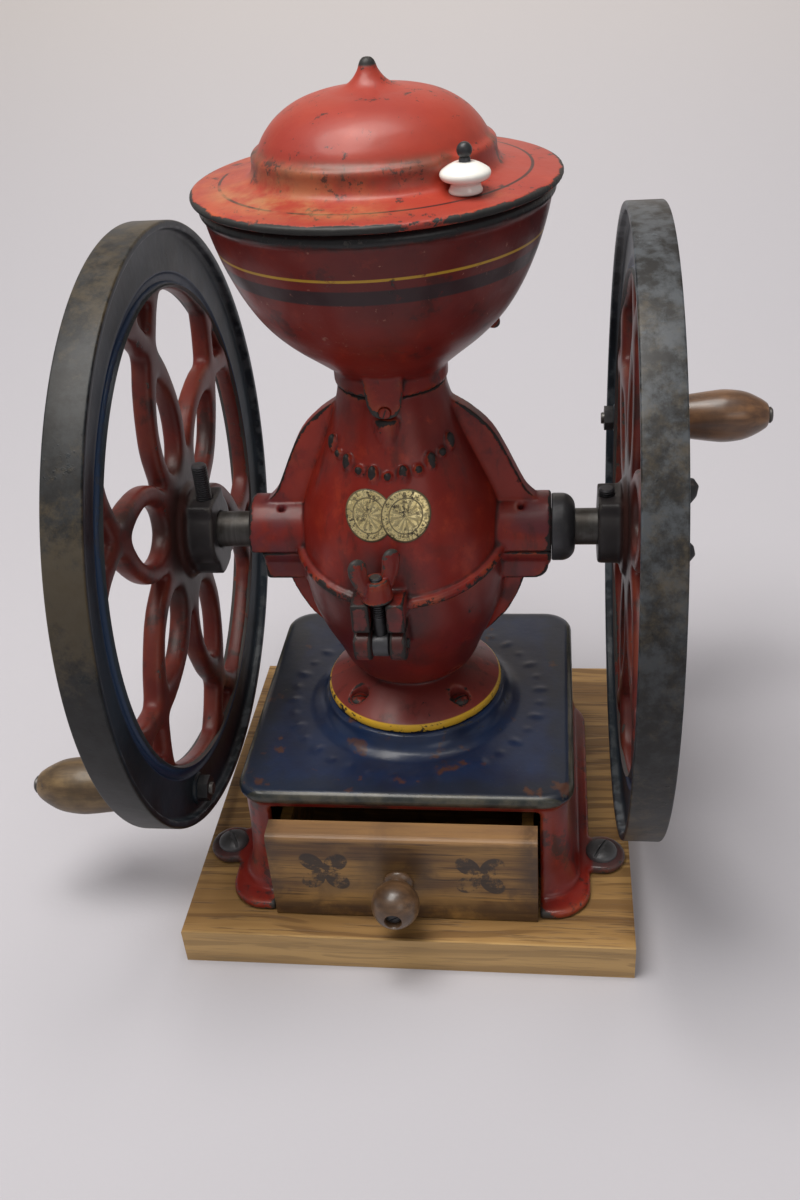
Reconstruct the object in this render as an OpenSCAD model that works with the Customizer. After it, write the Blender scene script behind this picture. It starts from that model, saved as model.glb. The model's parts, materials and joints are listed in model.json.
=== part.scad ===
// Two-wheel counter coffee mill on a square display board.
// Origin: centre of the board's underside. +X right, +Y to the back, +Z up. Millimetres.

/* [Board] */
// Side of the square display board
board_side = 241.3; // [238:0.1:250]
// Thickness of the display board
board_h = 22; // [18:0.5:26]

/* [Iron base] */
// Width of the top plate
plate_x = 179; // [176:1:184]
// Depth of the top plate
plate_y = 174; // [170:1:180]
// Height of the plate's top face above the table
plate_top = 92; // [90:0.5:96]
// Corner radius of the plate
plate_r = 16; // [12:1:20]
// Wall thickness of the base casting
base_wall = 5; // [4:0.5:6]
// Distance of each fixing lug from the middle
lug_x = 105; // [104:0.5:106]
// Depth position of the fixing lugs
lug_y = -57; // [-64:1:-44]

/* [Casings] */
// Height of the wheel axle
axle_z = 203; // [202:0.5:204]
// Tilt of the plane where the two casings part
split_tilt = 15; // [10:1:18]
// Wall thickness of the casings
casing_wall = 5; // [4:0.5:6]
// Radius of the throat that passes beans and grounds
throat_r = 21.5; // [20:0.5:22]
// Outer end of the left bearing boss
boss_left = 79.2; // [78:0.1:80]
// Outer end of the right bearing boss
boss_right = 77.3; // [77:0.1:78]
// Radius of the bearing bosses
boss_r = 19; // [18:0.5:20]

/* [Hopper and lid] */
// Height where the hopper sits on the upper casing
hopper_z = 288; // [287.5:0.5:289]
// Height of the hopper's rim
rim_z = 379.8; // [379:0.1:380]
// Radius of the lid
lid_r = 83; // [81:0.5:85]
// Height of the finial's tip
top_z = 431.8; // [431:0.1:433]
// Angle of the lid pivot, anticlockwise from +X
pivot_angle = 125; // [115:1:135]

/* [Shaft and burrs] */
// Radius of the main shaft
shaft_r = 9.5; // [9:0.1:10]
// Radial clearance of every running fit
fit = 0.05; // [0.03:0.01:0.08]
// Radius of the grinding burrs
burr_r = 30; // [28:0.5:31]
// Gap between the burrs at the coarsest setting
burr_gap = 1.5; // [1.4:0.1:2]

/* [Wheels] */
// Radius of the flywheels
wheel_r = 159; // [156:0.5:162]
// Distance of each wheel's inner face from the middle
wheel_x = 111.5; // [110:0.5:113]
// Width of the wheel rim
wheel_w = 18.5; // [17:0.5:20]
// Turn of the left wheel's spokes at rest
left_turn = 5; // [0:1:10]
// Turn of the right wheel's spokes at rest
right_turn = 0; // [0:1:10]
// Radius at which the handles stand on the wheels
handle_r = 143; // [141:0.5:145]
// Angle of the left handle about the axle
left_handle = 243; // [0:1:360]
// Angle of the right handle about the axle
right_handle = 358; // [0:1:360]

/* [Latch] */
// Sideways position of the latch
latch_x = -6; // [-7:0.5:0]
// Depth position of the swing bolt
latch_y = -65; // [-66:0.5:-64]
// Height of the swing bolt's pivot
latch_z = 174.5; // [173:0.5:176]

/* [Drawer] */
// Width of the drawer front
drawer_w = 141; // [136:1:142]
// Height of the drawer front
drawer_h = 56.5; // [54:0.5:57]
// Distance that the drawer stands out at rest
drawer_out = 15; // [0:1:60]

/* [Hidden] */
$fn = 64;

// paint and material colours
red = [0.62, 0.13, 0.08];
blue = [0.13, 0.19, 0.38];
iron = [0.20, 0.21, 0.23];
steel = [0.45, 0.46, 0.48];
oak = [0.72, 0.52, 0.28];
brown = [0.42, 0.27, 0.13];
white = [0.93, 0.93, 0.90];

// small gap that keeps two touching castings apart
seat = 0.1;
// a cutter reaches this far past the surface it cuts
over = 1;
// half the size of a block that covers the whole machine
far = 300;

// base
plate_t = 8;
wall_top = plate_top - plate_t;
foot_t = 5;
foot_half_x = 98.5;
foot_front = -103;
foot_back = 79;
skirt_r = plate_r - 3;
skirt_x = plate_x / 2 - 3 - skirt_r;
skirt_y = plate_y / 2 - 2 - skirt_r;
// outline of the skirt, as [distance past its corner's centre, height]
skirt_profile = [[skirt_r, wall_top + 0.5], [skirt_r + 2, board_h + 22],
    [skirt_r + 4, board_h + 9], [skirt_r + 8, board_h]];
lug_r = 13;
lug_screw_r = 3;
bay_half = 71.5;
bay_top = 81;
plinth_h = 11;
plinth_top = plate_top + plinth_h;

// pedestal screws
pedestal_r = 49;
pedestal_edge = 4.5;
crease_z = 121;
crease_r = 26.5;
screw_ring_r = 39;
screw_ring_turn = -45;
ped_screw_r = 2.5;
ped_head_r = 4.8;
ped_seat_z = plinth_top + 6;

// outline of the bulb-shaped casing, as [radius, height], smoothed by a spline
bulb_knots = [
    [crease_r, crease_z], [35, 127], [41, 141], [47.3, 155], [52, 170],
    [54, 190], [52.5, 207], [49.5, 224], [42.5, 242], [34, 262], [28, 280],
    [26.5, hopper_z - seat]
];
// outline of the hopper bowl, as [radius, height], smoothed by a spline
bowl_knots = [
    [27.8, 296.5], [31, 299.2], [38, 305], [49, 314.2], [58.5, 324.6], [66, 337],
    [72, 351], [75.6, 362.5], [77.6, 371]
];
bowl_wall = 3.5;
// lower end of the tongue that locks the hopper to the upper casing
tongue_z = 279.2;

// bearings
block_half_y = 15;
block_bottom = 180.7;
block_corner = 7;
// outer end of the lower casing on the left, short of the upper casing's
lower_left = 73.4;
gusset_t = 9;
cap_w = 12;
cap_r = 17.5;

// grinding chamber
partition_x = 9;
partition_t = 5;
feed_hole_r = 22;
floor_z = 178;
floor_t = 4;
burr_x = partition_x + partition_t;
burr_t = 6;
burr_bore_r = 16.5;
moving_x = burr_x + burr_t + burr_gap;
moving_t = 9;
hub_len = 11;
key_r = 2;
key_x = moving_x + moving_t + hub_len / 2;
rod_r = 3.5;
rod_bore_r = 4.05;
feed_travel = 1.2;
shaft_left = -126;
shaft_right = 127;
stub_x = 108;
worm_r = 19;

// hinge at the back of the casings
hinge_y = 61;
hinge_z = axle_z + hinge_y * tan(split_tilt);
hinge_r = 6;
hinge_pin_r = 2.5;
knuckle_half = 6;
ear_half = 15;

// latch
fork_half = 13;
slot_half = 4.2;
ear_r = 8.5;
bolt_r = 3.2;
nut_z = 201;
nut_h = 11;
nut_r = 8;
bolt_top = 214;
latch_pin_r = 2.5;

// lid pivot
pivot_r = 72;
pivot_x = pivot_r * cos(pivot_angle);
pivot_y = pivot_r * sin(pivot_angle);
pivot_pin_r = 3;
knob_x = 43;
knob_y = -46.1;
knob_seat_z = 385.6;

// wheels
hub_r = 26;
web_in = 5;
web_out = 13.5;
first_petal = 28;
bar_inset = 4.2;
set_screw_r = 4.1;
set_screw_x = 105;
spindle_r = 3.5;
grip_tip = 210;

// drawer
front_t = 13;
front_y = -plate_y / 2 - 3 - drawer_out;
drawer_z = board_h + 0.8;
board_t = 6;
box_h = 46;
box_len = 138;
box_half = 68;
bottom_t = 4;
knob_z = 49;
knob_r = 12.5;
knob_screw_r = 2;

// point of a Catmull-Rom curve between b and c
function curve_at(a, b, c, d, t) =
    0.5 * (2 * b + (c - a) * t + (2 * a - 5 * b + 4 * c - d) * t * t
        + (3 * b - a - 3 * c + d) * t * t * t);

// n points to each span of a smooth curve through p
function spline(p, n) = concat(
    [for (i = [0 : len(p) - 2], k = [0 : n - 1])
        curve_at(p[max(i - 1, 0)], p[i], p[i + 1], p[min(i + 2, len(p) - 1)], k / n)],
    [p[len(p) - 1]]
);

function reversed(p) = [for (i = [len(p) - 1 : -1 : 0]) p[i]];

// the same curve moved towards the axis, never closer than least
function inward(p, t, least) = [for (q = p) [max(q[0] - t, least), q[1]]];

// points of an arc about [cx, cy]
function arc(cx, cy, r, a0, a1, n) =
    [for (k = [0 : n]) [cx + r * cos(a0 + (a1 - a0) * k / n),
        cy + r * sin(a0 + (a1 - a0) * k / n)]];

bulb = spline(bulb_knots, 2);
bowl = spline(bowl_knots, 2);

// ---- general shapes ----

// a cylinder along X from x0 to x1 on the axle's line
module axle_rod(r, x0, x1, y = 0, z = axle_z) {
    translate([x0, y, z])
        rotate([0, 90, 0])
            cylinder(r = r, h = x1 - x0);
}

// a plate with round corners, lying flat
module round_plate(sx, sy, r, h) {
    linear_extrude(height = h)
        union() {
            square([sx - 2 * r, sy], center = true);
            square([sx, sy - 2 * r], center = true);
            for (x = [-1, 1], y = [-1, 1])
                translate([x * (sx / 2 - r), y * (sy / 2 - r)])
                    circle(r = r);
        }
}

// all space above (side = 1) or below (side = -1) the casings' parting plane
module parting_half(side) {
    translate([0, 0, axle_z])
        rotate([split_tilt, 0, 0])
            translate([-far / 2, -far / 2, side > 0 ? seat : -far - seat])
                cube([far, far, far]);
}

// slotted round-head screw, head up, head seat at z = 0
module slotted_screw(r, len, head_r, head_h) {
    difference() {
        union() {
            translate([0, 0, -len])
                cylinder(r = r, h = len + head_h / 2);
            rotate_extrude()
                polygon([[0, 0], [head_r, 0], [head_r, head_h * 0.35],
                    [head_r * 0.8, head_h * 0.75], [head_r * 0.45, head_h], [0, head_h]]);
        }
        translate([-head_r - over, -head_r * 0.11, head_h * 0.5])
            cube([2 * head_r + 2 * over, head_r * 0.22, head_h]);
    }
}

// ---- board and base ----

module display_board() {
    color(oak)
        difference() {
            translate([-board_side / 2, -board_side / 2, 0])
                cube([board_side, board_side, board_h]);
            for (x = [-lug_x, lug_x])
                translate([x, lug_y, board_h - 14])
                    cylinder(r = lug_screw_r, h = 14 + over);
        }
}

// one quarter-turned corner of the skirt, right and back
module skirt_corner(outline) {
    translate([skirt_x, skirt_y, 0])
        rotate_extrude(angle = 90)
            polygon(outline);
}

// skirt of the base: narrow under the plate, flared to the foot
module base_skirt(inset) {
    half = [for (q = skirt_profile) [q[0] - inset, q[1]]];
    outline = concat([[0, half[0][1]]], half, [[0, half[len(half) - 1][1]]]);
    wall_x = concat([for (q = half) [skirt_x + q[0], q[1]]],
        reversed([for (q = half) [-skirt_x - q[0], q[1]]]));
    wall_y = concat([for (q = half) [skirt_y + q[0], q[1]]],
        reversed([for (q = half) [skirt_y, q[1]]]));
    // the middle, from side to side
    translate([0, skirt_y, 0])
        rotate([90, 0, 0])
            linear_extrude(height = 2 * skirt_y)
                polygon(wall_x);
    for (back = [0, 1])
        mirror([0, back, 0]) {
            // front or back wall
            translate([-skirt_x, 0, 0])
                rotate([90, 0, 90])
                    linear_extrude(height = 2 * skirt_x)
                        polygon(wall_y);
            for (left = [0, 1])
                mirror([left, 0, 0])
                    skirt_corner(outline);
        }
}

// flat foot that follows the sides and front corners
module base_foot() {
    foot_mid = (foot_front + foot_back) / 2;
    translate([0, foot_mid, board_h])
        round_plate(2 * foot_half_x, foot_back - foot_front, 20, foot_t);
    for (x = [-1, 1])
        translate([x * lug_x, lug_y, board_h]) {
            cylinder(r = lug_r, h = foot_t);
            translate([x > 0 ? -24 : 0, -lug_r, 0])
                cube([24, 2 * lug_r, foot_t]);
        }
}

module plinth() {
    translate([0, 0, plate_top - over])
        rotate_extrude()
            polygon(concat([[0, 0], [58, 0], [58, over]],
                arc(60.5, plinth_h - 0.5, 9.5, 255, 180, 4),
                [[50.5, plinth_h + over], [0, plinth_h + over]]));
}

module base_casting() {
    color(blue)
        difference() {
            union() {
                base_skirt(0);
                base_foot();
                translate([0, 0, wall_top])
                    round_plate(plate_x, plate_y, plate_r, plate_t);
                plinth();
            }
            // hollow under the plate
            difference() {
                translate([0, 0, -over])
                    base_skirt(base_wall);
                translate([-far / 2, -far / 2, wall_top - 1.5])
                    cube([far, far, far]);
            }
            translate([-bay_half, -far / 2, board_h - over])
                cube([2 * bay_half, far / 2, bay_top - board_h + over]);
            translate([0, 0, board_h - over])
                linear_extrude(height = foot_t + 2 * over)
                    square([2 * bay_half + 8, plate_y - 12], center = true);
            translate([0, 0, wall_top - 3])
                cylinder(r = throat_r, h = far);
            for (x = [-1, 1])
                translate([x * lug_x, lug_y, board_h - over])
                    cylinder(r = lug_screw_r + 0.3, h = foot_t + 2 * over);
            at_pedestal_screws()
                translate([0, 0, wall_top - 3])
                    cylinder(r = ped_screw_r + seat / 2, h = far);
        }
}

module base_screws() {
    color(iron)
        for (x = [-1, 1])
            translate([x * lug_x, lug_y, board_h + foot_t])
                rotate([0, 0, x * 62])
                    slotted_screw(lug_screw_r, 17, 8.6, 4.2);
}

// ---- casings ----

module at_pedestal_screws() {
    for (k = [0 : 3])
        rotate([0, 0, screw_ring_turn - 90 + 90 * k])
            translate([screw_ring_r, 0, 0])
                children();
}

// outer form of pedestal and bulb together
module casing_turned() {
    rotate_extrude()
        polygon(concat(
            [[0, plinth_top + seat], [pedestal_r, plinth_top + seat],
                [pedestal_r, plinth_top + pedestal_edge], [pedestal_r - 1.5, plinth_top + 6],
                [36, 116]],
            bulb, [[0, hopper_z - seat]]));
}

// hollow inside the casings
module casing_hollow() {
    inner = [for (q = inward(bulb, casing_wall, throat_r)) if (q[1] > crease_z + 4) q];
    rotate_extrude()
        polygon(concat([[0, plinth_top - over], [throat_r, plinth_top - over],
            [throat_r, crease_z + 4]], inner,
            [[throat_r, hopper_z + over], [0, hopper_z + over]]));
}

// flat web in the plane of the axle, right-hand side
module gusset(outline) {
    translate([0, gusset_t / 2, 0])
        rotate([90, 0, 0])
            linear_extrude(height = gusset_t)
                polygon(outline);
}

module upper_gusset() {
    gusset(concat([[15, 279.5]],
        spline([[29, 277], [38, 271], [48, 261], [55, 248], [60, 237], [65, 227], [71, 221]], 2),
        [[71, axle_z], [15, axle_z]]));
}

module lower_gusset() {
    gusset(concat([[15, axle_z], [68, axle_z]],
        spline([[65, 181], [62.5, 173], [60, 165.8], [56.3, 158.3], [53, 152.5], [48, 147],
            [42, 141], [34, 136]], 2),
        [[15, 136]]));
}

// block under one bearing, its lower outer corner rounded
module bearing_block(x_end) {
    translate([0, block_half_y, 0])
        rotate([90, 0, 0])
            linear_extrude(height = 2 * block_half_y)
                polygon(concat([[30, axle_z], [30, block_bottom]],
                    arc(x_end - 1.5 - block_corner, block_bottom + block_corner,
                        block_corner, -90, 0, 4),
                    [[x_end - 1.5, axle_z]]));
}

module bearing_arm(x_end) {
    axle_rod(boss_r, 20, x_end);
    upper_gusset();
    lower_gusset();
    bearing_block(x_end);
}

module casing_blank() {
    casing_turned();
    bearing_arm(boss_right);
    mirror([1, 0, 0])
        bearing_arm(boss_left);
}

// a slab of the hollow, used for webs that are cast inside the casings
module inner_web() {
    intersection() {
        casing_hollow();
        children();
    }
}

// wall between the bean side and the burr side, with the feed hole
module partition() {
    difference() {
        inner_web()
            translate([partition_x, -far / 2, floor_z])
                cube([partition_t, far, 244 - floor_z]);
        axle_rod(feed_hole_r, partition_x - over, partition_x + partition_t + over);
    }
}

// sloping roof over the burrs
module burr_roof() {
    inner_web()
        translate([partition_x, -far / 2, 240])
            rotate([0, -38, 0])
                cube([80, far, 4]);
}

module bean_floor() {
    inner_web()
        translate([-far / 2, -far / 2, floor_z])
            cube([far / 2 + partition_x + partition_t, far, floor_t]);
}

// knuckles at the back; side = 1 for the upper casing's pair, -1 for the lower one's single
module hinge_knuckles(side) {
    gap = 0.3;
    x0 = side > 0 ? knuckle_half + gap : -knuckle_half;
    x1 = side > 0 ? ear_half : knuckle_half;
    intersection() {
        for (s = side > 0 ? [0, 1] : [0])
            mirror([s, 0, 0])
                translate([x0, 44, hinge_z - hinge_r])
                    cube([x1 - x0, hinge_y - 44, 2 * hinge_r]);
        parting_half(side);
    }
    for (s = side > 0 ? [0, 1] : [0])
        mirror([s, 0, 0])
            axle_rod(hinge_r, x0, x1, hinge_y, hinge_z);
}

// half-round ears that carry the swing bolt's pin
module latch_ears() {
    for (s = [-1, 1])
        translate([latch_x + (s > 0 ? slot_half + 0.6 : -fork_half), 0, 0]) {
            axle_rod(ear_r, 0, fork_half - slot_half - 0.6, latch_y, latch_z);
            translate([0, latch_y, latch_z - ear_r])
                cube([fork_half - slot_half - 0.6, 25, 2 * ear_r]);
        }
}

// slotted lug over which the wing nut bears
module latch_fork() {
    top_r = nut_z - latch_z - 0.2;
    difference() {
        intersection() {
            translate([latch_x - fork_half, latch_y - 6, 150])
                cube([2 * fork_half, 30, 80]);
            axle_rod(top_r, -far, far, latch_y, latch_z);
            parting_half(1);
        }
        translate([latch_x - slot_half, latch_y - 20, 150])
            cube([2 * slot_half, 20 + bolt_r + 1.4, 80]);
    }
}

// round bead that covers the parting line
module seam_bead() {
    bead = 3;
    intersection() {
        rotate_extrude()
            polygon(concat([for (q = bulb) if (q[1] > 150 && q[1] < 250) [q[0] + bead, q[1]]],
                reversed([for (q = bulb) if (q[1] > 150 && q[1] < 250) [q[0] - 2, q[1]]])));
        translate([0, 0, axle_z])
            rotate([split_tilt, 0, 0])
                translate([-far / 2, -far / 2, seat])
                    cube([far, far, 6]);
    }
}

module lower_casing() {
    color(red)
        difference() {
            union() {
                difference() {
                    union() {
                        intersection() {
                            casing_blank();
                            parting_half(-1);
                            // the left end stops short of the upper casing's
                            translate([-lower_left, -far / 2, 0])
                                cube([far, far, far]);
                        }
                        latch_ears();
                        hinge_knuckles(-1);
                    }
                    casing_hollow();
                }
                intersection() {
                    union() {
                        partition();
                        bean_floor();
                    }
                    parting_half(-1);
                }
            }
            axle_rod(shaft_r + fit, -far, far);
            axle_rod(hinge_pin_r, -far, far, hinge_y, hinge_z);
            axle_rod(latch_pin_r, latch_x - 20, latch_x + 20, latch_y, latch_z);
            at_pedestal_screws() {
                translate([0, 0, plinth_top - over])
                    cylinder(r = ped_screw_r + 0.3, h = 40);
                translate([0, 0, ped_seat_z])
                    cylinder(r = ped_head_r + 0.6, h = 14);
            }
            at_burr_screws()
                axle_rod(1.5, partition_x - over, burr_x + over, 0, 0);
        }
}

// raised rib that runs down the front from the hopper's lug
module neck_rib() {
    difference() {
        translate([0, -27, 263])
            cylinder(r = 6, h = tongue_z - 263 - 2 * seat);
        casing_hollow();
    }
}

module upper_casing() {
    color(red)
        difference() {
            union() {
                difference() {
                    union() {
                        intersection() {
                            casing_blank();
                            parting_half(1);
                        }
                        seam_bead();
                        neck_rib();
                        latch_fork();
                        hinge_knuckles(1);
                    }
                    casing_hollow();
                }
                intersection() {
                    union() {
                        partition();
                        burr_roof();
                    }
                    parting_half(1);
                }
            }
            axle_rod(shaft_r + fit, -far, far);
            axle_rod(hinge_pin_r + fit, -far, far, hinge_y, hinge_z);
            for (x = [-62, 62])
                translate([x, -8, axle_z])
                    cylinder(r = 1.6, h = 40);
            translate([0, 0, hopper_z - 5])
                rotate([90, 0, 0])
                    cylinder(r = 2.5, h = 60);
        }
}

module hinge_pin() {
    color(iron)
        axle_rod(hinge_pin_r, -ear_half - 2, ear_half + 2, hinge_y, hinge_z);
}

module pedestal_screws() {
    color(iron)
        at_pedestal_screws()
            translate([0, 0, ped_seat_z])
                slotted_screw(ped_screw_r, 20, ped_head_r, 3);
}

// ---- hopper and lid ----

// boss on the hopper's rim that takes the lid's pivot screw
module pivot_boss() {
    intersection() {
        translate([pivot_x, pivot_y, 361])
            cylinder(r = 7.5, h = rim_z - 361);
        cylinder(r = 78, h = far * 2);
    }
}

module hopper() {
    neck_r = 27.8;
    color(red)
        difference() {
            union() {
                difference() {
                    union() {
                        rotate_extrude()
                            polygon(concat([[0, hopper_z], [neck_r, hopper_z]], bowl,
                                [[78.2, 372.6], [79.4, 374], [79.6, 376.8], [78.9, 379],
                                    [78, rim_z], [0, rim_z]]));
                        // lug that locks the hopper to the casing
                        translate([0, -24.5, hopper_z + 0.2])
                            cylinder(r = 8, h = 13);
                        translate([-8, -32.5, tongue_z])
                            cube([16, 4.2, 20]);
                    }
                    rotate_extrude()
                        polygon(concat([[0, hopper_z - over], [throat_r, hopper_z - over],
                            [throat_r, 297]], inward(spline(slice_from(bowl_knots, 1), 2),
                            bowl_wall, throat_r), [[74.5, rim_z + over], [0, rim_z + over]]));
                }
                pivot_boss();
            }
            translate([pivot_x, pivot_y, rim_z - 16])
                cylinder(r = pivot_pin_r, h = 30);
            translate([0, 0, hopper_z - 5])
                rotate([90, 0, 0])
                    cylinder(r = 2.55, h = 60);
        }
}

function slice_from(p, i0) = [for (i = [i0 : len(p) - 1]) p[i]];

module hopper_screw() {
    color(iron)
        translate([0, -32.6, hopper_z - 5])
            rotate([90, 0, 0])
                slotted_screw(2.45, 9, 2.8, 1);
}

module lid() {
    outer = concat([[0, top_z], [2.4, top_z - 0.6], [3.8, 429]],
        spline([[4.2, 427.2], [6.5, 423.8], [10, 421], [16, 419.3], [25, 417.8], [34, 414.8],
            [42, 409.8], [47.5, 404], [50.3, 399.5]], 2),
        [[53, 398], [54.2, 395.5]],
        spline([[54, 393], [55.4, 388.5], [60, 386.2], [lid_r - 1.5, 383.6]], 2),
        [[lid_r, 382.4], [lid_r - 0.4, rim_z + 0.6], [lid_r - 1.4, rim_z + 0.2]]);
    inner = concat([[57, rim_z + 0.2], [52, 384.5], [50.5, 389], [49.5, 395]],
        spline([[47, 398], [42, 404.5], [35, 409], [25, 413], [10, 415.8], [0, 416.5]], 2));
    color(red)
        difference() {
            rotate_extrude()
                polygon(concat(outer, inner));
            translate([pivot_x, pivot_y, rim_z - over])
                cylinder(r = pivot_pin_r + fit, h = 20);
            translate([knob_x, knob_y, rim_z - over])
                cylinder(r = 2.5, h = 20);
            // flat seats under the pivot screw's head and the knob
            translate([pivot_x, pivot_y, 384.5])
                cylinder(r = 6.6, h = 8);
            translate([knob_x, knob_y, knob_seat_z - seat])
                cylinder(r = 7.3, h = 12);
            // hollow in the dome's foot that clears the knob's belly
            translate([knob_x, knob_y, knob_seat_z + 3.4])
                cylinder(r = 10.7, h = 12);
        }
}

module lid_pivot_screw() {
    color(iron)
        translate([pivot_x, pivot_y, 384.7])
            slotted_screw(pivot_pin_r, 18, 6, 3);
}

module lid_knob() {
    color(white)
        translate([knob_x, knob_y, knob_seat_z])
            difference() {
                rotate_extrude()
                    polygon(concat([[0, 0], [6.8, 0], [7, 1.5], [6.2, 3.6]],
                        arc(7.2, 7.4, 3.2, -80, 60, 6), [[7.3, 11], [4.5, 12.1], [0, 12.3]]));
                translate([0, 0, -over])
                    cylinder(r = 2.5, h = 20);
            }
}

module lid_knob_screw() {
    color(iron)
        translate([knob_x, knob_y, 0])
            rotate_extrude()
                polygon(concat([[0, rim_z + 0.4], [2.4, rim_z + 0.4], [2.4, knob_seat_z + 14.3]],
                    arc(0, knob_seat_z + 16.6, 3.2, -46, 90, 6)));
}

// ---- shaft, burrs and adjuster ----

module main_shaft() {
    color(steel)
        difference() {
            axle_rod(shaft_r, shaft_left, shaft_right);
            axle_rod(rod_bore_r, moving_x + 8, shaft_right + over);
            // slot that lets the key slide with the burr
            translate([key_x - key_r - feed_travel - 0.2, -key_r - 0.1, axle_z - 20])
                cube([2 * key_r + feed_travel + 0.4, 2 * key_r + 0.2, 40]);
        }
}

module thrust_cap() {
    dome = 7;
    color(iron)
        translate([boss_right + seat, 0, axle_z])
            rotate([0, 90, 0])
                rotate_extrude()
                    polygon(concat([[shaft_r + fit, 0], [cap_r, 0]],
                        arc(cap_r - dome, cap_w - dome, dome, 0, 80, 6),
                        [[shaft_r + fit, cap_w]]));
}

module at_burr_screws() {
    for (a = [-150, -30])
        translate([0, 0, axle_z])
            rotate([a, 0, 0])
                translate([0, 25.5, 0])
                    children();
}

// shallow radial furrows on a burr's face
module furrows(x, count, depth) {
    translate([x, 0, axle_z])
        for (k = [0 : count - 1])
            rotate([360 * k / count, 0, 0])
                translate([-depth, 17.5, -1])
                    cube([2 * depth, 20, 2]);
}

module fixed_burr() {
    color(steel)
        difference() {
            axle_rod(burr_r, burr_x + seat, burr_x + burr_t);
            axle_rod(burr_bore_r, burr_x - over, burr_x + burr_t + over);
            furrows(burr_x + burr_t, 18, 1);
            at_burr_screws() {
                axle_rod(1.6, burr_x - over, burr_x + burr_t, 0, 0);
                axle_rod(3.2, burr_x + 3, burr_x + burr_t + over, 0, 0);
            }
        }
}

module burr_screws() {
    color(iron)
        at_burr_screws() {
            axle_rod(1.5, partition_x + 0.5, burr_x + 4, 0, 0);
            axle_rod(3, burr_x + 3.1, burr_x + burr_t - 1, 0, 0);
        }
}

module moving_burr() {
    color(steel)
        difference() {
            union() {
                axle_rod(burr_r, moving_x, moving_x + moving_t);
                axle_rod(15, moving_x + moving_t, moving_x + moving_t + hub_len);
            }
            axle_rod(shaft_r + fit, moving_x - over, moving_x + 40);
            furrows(moving_x, 18, 1.2);
            translate([key_x, 0, axle_z - 30])
                cylinder(r = key_r, h = 60);
        }
}

module burr_key() {
    color(steel)
        translate([key_x, 0, axle_z - 14])
            cylinder(r = key_r, h = 28);
}

module push_rod() {
    color(steel)
        difference() {
            axle_rod(rod_r, moving_x + 10, stub_x - seat);
            translate([key_x, 0, axle_z - 30])
                cylinder(r = key_r, h = 60);
        }
}

// screw with two thumb wings at the right-hand end of the shaft
module adjusting_screw() {
    wing_t = 6;
    color(iron)
        union() {
            axle_rod(4, stub_x, 132);
            axle_rod(10, 131, 141);
            for (reach = [19, -15])
                rotate_about_axle(-12)
                    hull() {
                        translate([138, -wing_t / 2, axle_z])
                            rotate([-90, 0, 0])
                                cylinder(r = 6, h = wing_t, $fn = 32);
                        translate([145, -wing_t / 2, axle_z + reach])
                            rotate([-90, 0, 0])
                                cylinder(r = 6.8, h = wing_t, $fn = 32);
                    }
        }
}

module rotate_about_axle(a) {
    translate([0, 0, axle_z])
        rotate([a, 0, 0])
            translate([0, 0, -axle_z])
                children();
}

// sleeve with a helical blade that carries beans to the burrs
module feed_worm() {
    worm_left = -43;
    worm_len = burr_x - 1 - worm_left;
    color(steel)
        difference() {
            union() {
                axle_rod(12.5, worm_left, burr_x + 4);
                translate([worm_left + 2, 0, axle_z])
                    rotate([0, 90, 0])
                        linear_extrude(height = worm_len - 4, twist = -620, slices = 60)
                            translate([11, -2.5])
                                square([worm_r - 11, 5]);
            }
            axle_rod(shaft_r + fit, -far, far);
        }
}

// ---- wheels ----

// opening inside a petal, as [distance from the axle, half-width]
petal_eye = [[36, 0], [40, 8], [48.5, 13.2], [60, 14.7], [70.5, 13], [81, 7.6], [89.5, 0]];
// opening between two petals, as [distance from the axle, half-angle]
petal_gap = [[41, 0], [45.5, 1.9], [52.4, 3.9], [63.2, 7.3], [74, 12.4], [83, 16.8], [92.3, 21],
    [99.5, 24.6], [103.4, 25.8], [107, 24.9], [109.4, 23.7], [118, 20.9], [123.5, 19.2],
    [124.8, 17.6]];
tip_angle = 5.6;
tip_start = 111.5;

function polar(p) = [for (q = p) [q[0] * cos(q[1]), q[0] * sin(q[1])]];
function flipped(p) = [for (q = reversed(p)) [q[0], -q[1]]];

module petal_eye_2d() {
    half = spline(petal_eye, 2);
    polygon(concat(half, [for (q = flipped(half)) if (q[1] < 0) q]));
}

module petal_gap_2d() {
    rim_arc = [for (a = [12, 8, 4, 0, -4, -8, -12]) [124.8, a]];
    half = polar(petal_gap);
    polygon(concat(half, polar(rim_arc), [for (q = flipped(half)) if (q[1] < 0) q]));
}

module petal_tip_2d() {
    polygon(concat([[tip_start, 0]],
        polar([for (a = [-tip_angle, -tip_angle / 2, 0, tip_angle / 2, tip_angle])
            [124.8, a]])));
}

// the whole wheel turned as one piece, before its openings are cut
module wheel_turned() {
    half_profile = [
        [hub_r - 1.5, 1], [hub_r, 2.2], [hub_r, bar_inset], [126, bar_inset], [129.5, 2],
        [133, 2], [135, web_in], [154, web_in], [155, 0.6], [156, 0], [158.3, 0],
        [wheel_r, 0.8]
    ];
    outer_half = [for (q = reversed(half_profile)) [q[0], wheel_w - q[1]]];
    rotate_extrude($fn = 96)
        polygon(concat([[0, 1]], half_profile, outer_half, [[0, wheel_w - 1]]));
}

// rim, petals and the flat of the hub
module wheel_web() {
    difference() {
        wheel_turned();
        for (k = [0 : 5])
            rotate([0, 0, first_petal + 60 * k])
                translate([0, 0, -over])
                    linear_extrude(height = wheel_w + 2 * over) {
                        petal_eye_2d();
                        rotate([0, 0, 30])
                            petal_gap_2d();
                        petal_tip_2d();
                    }
    }
}

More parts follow.
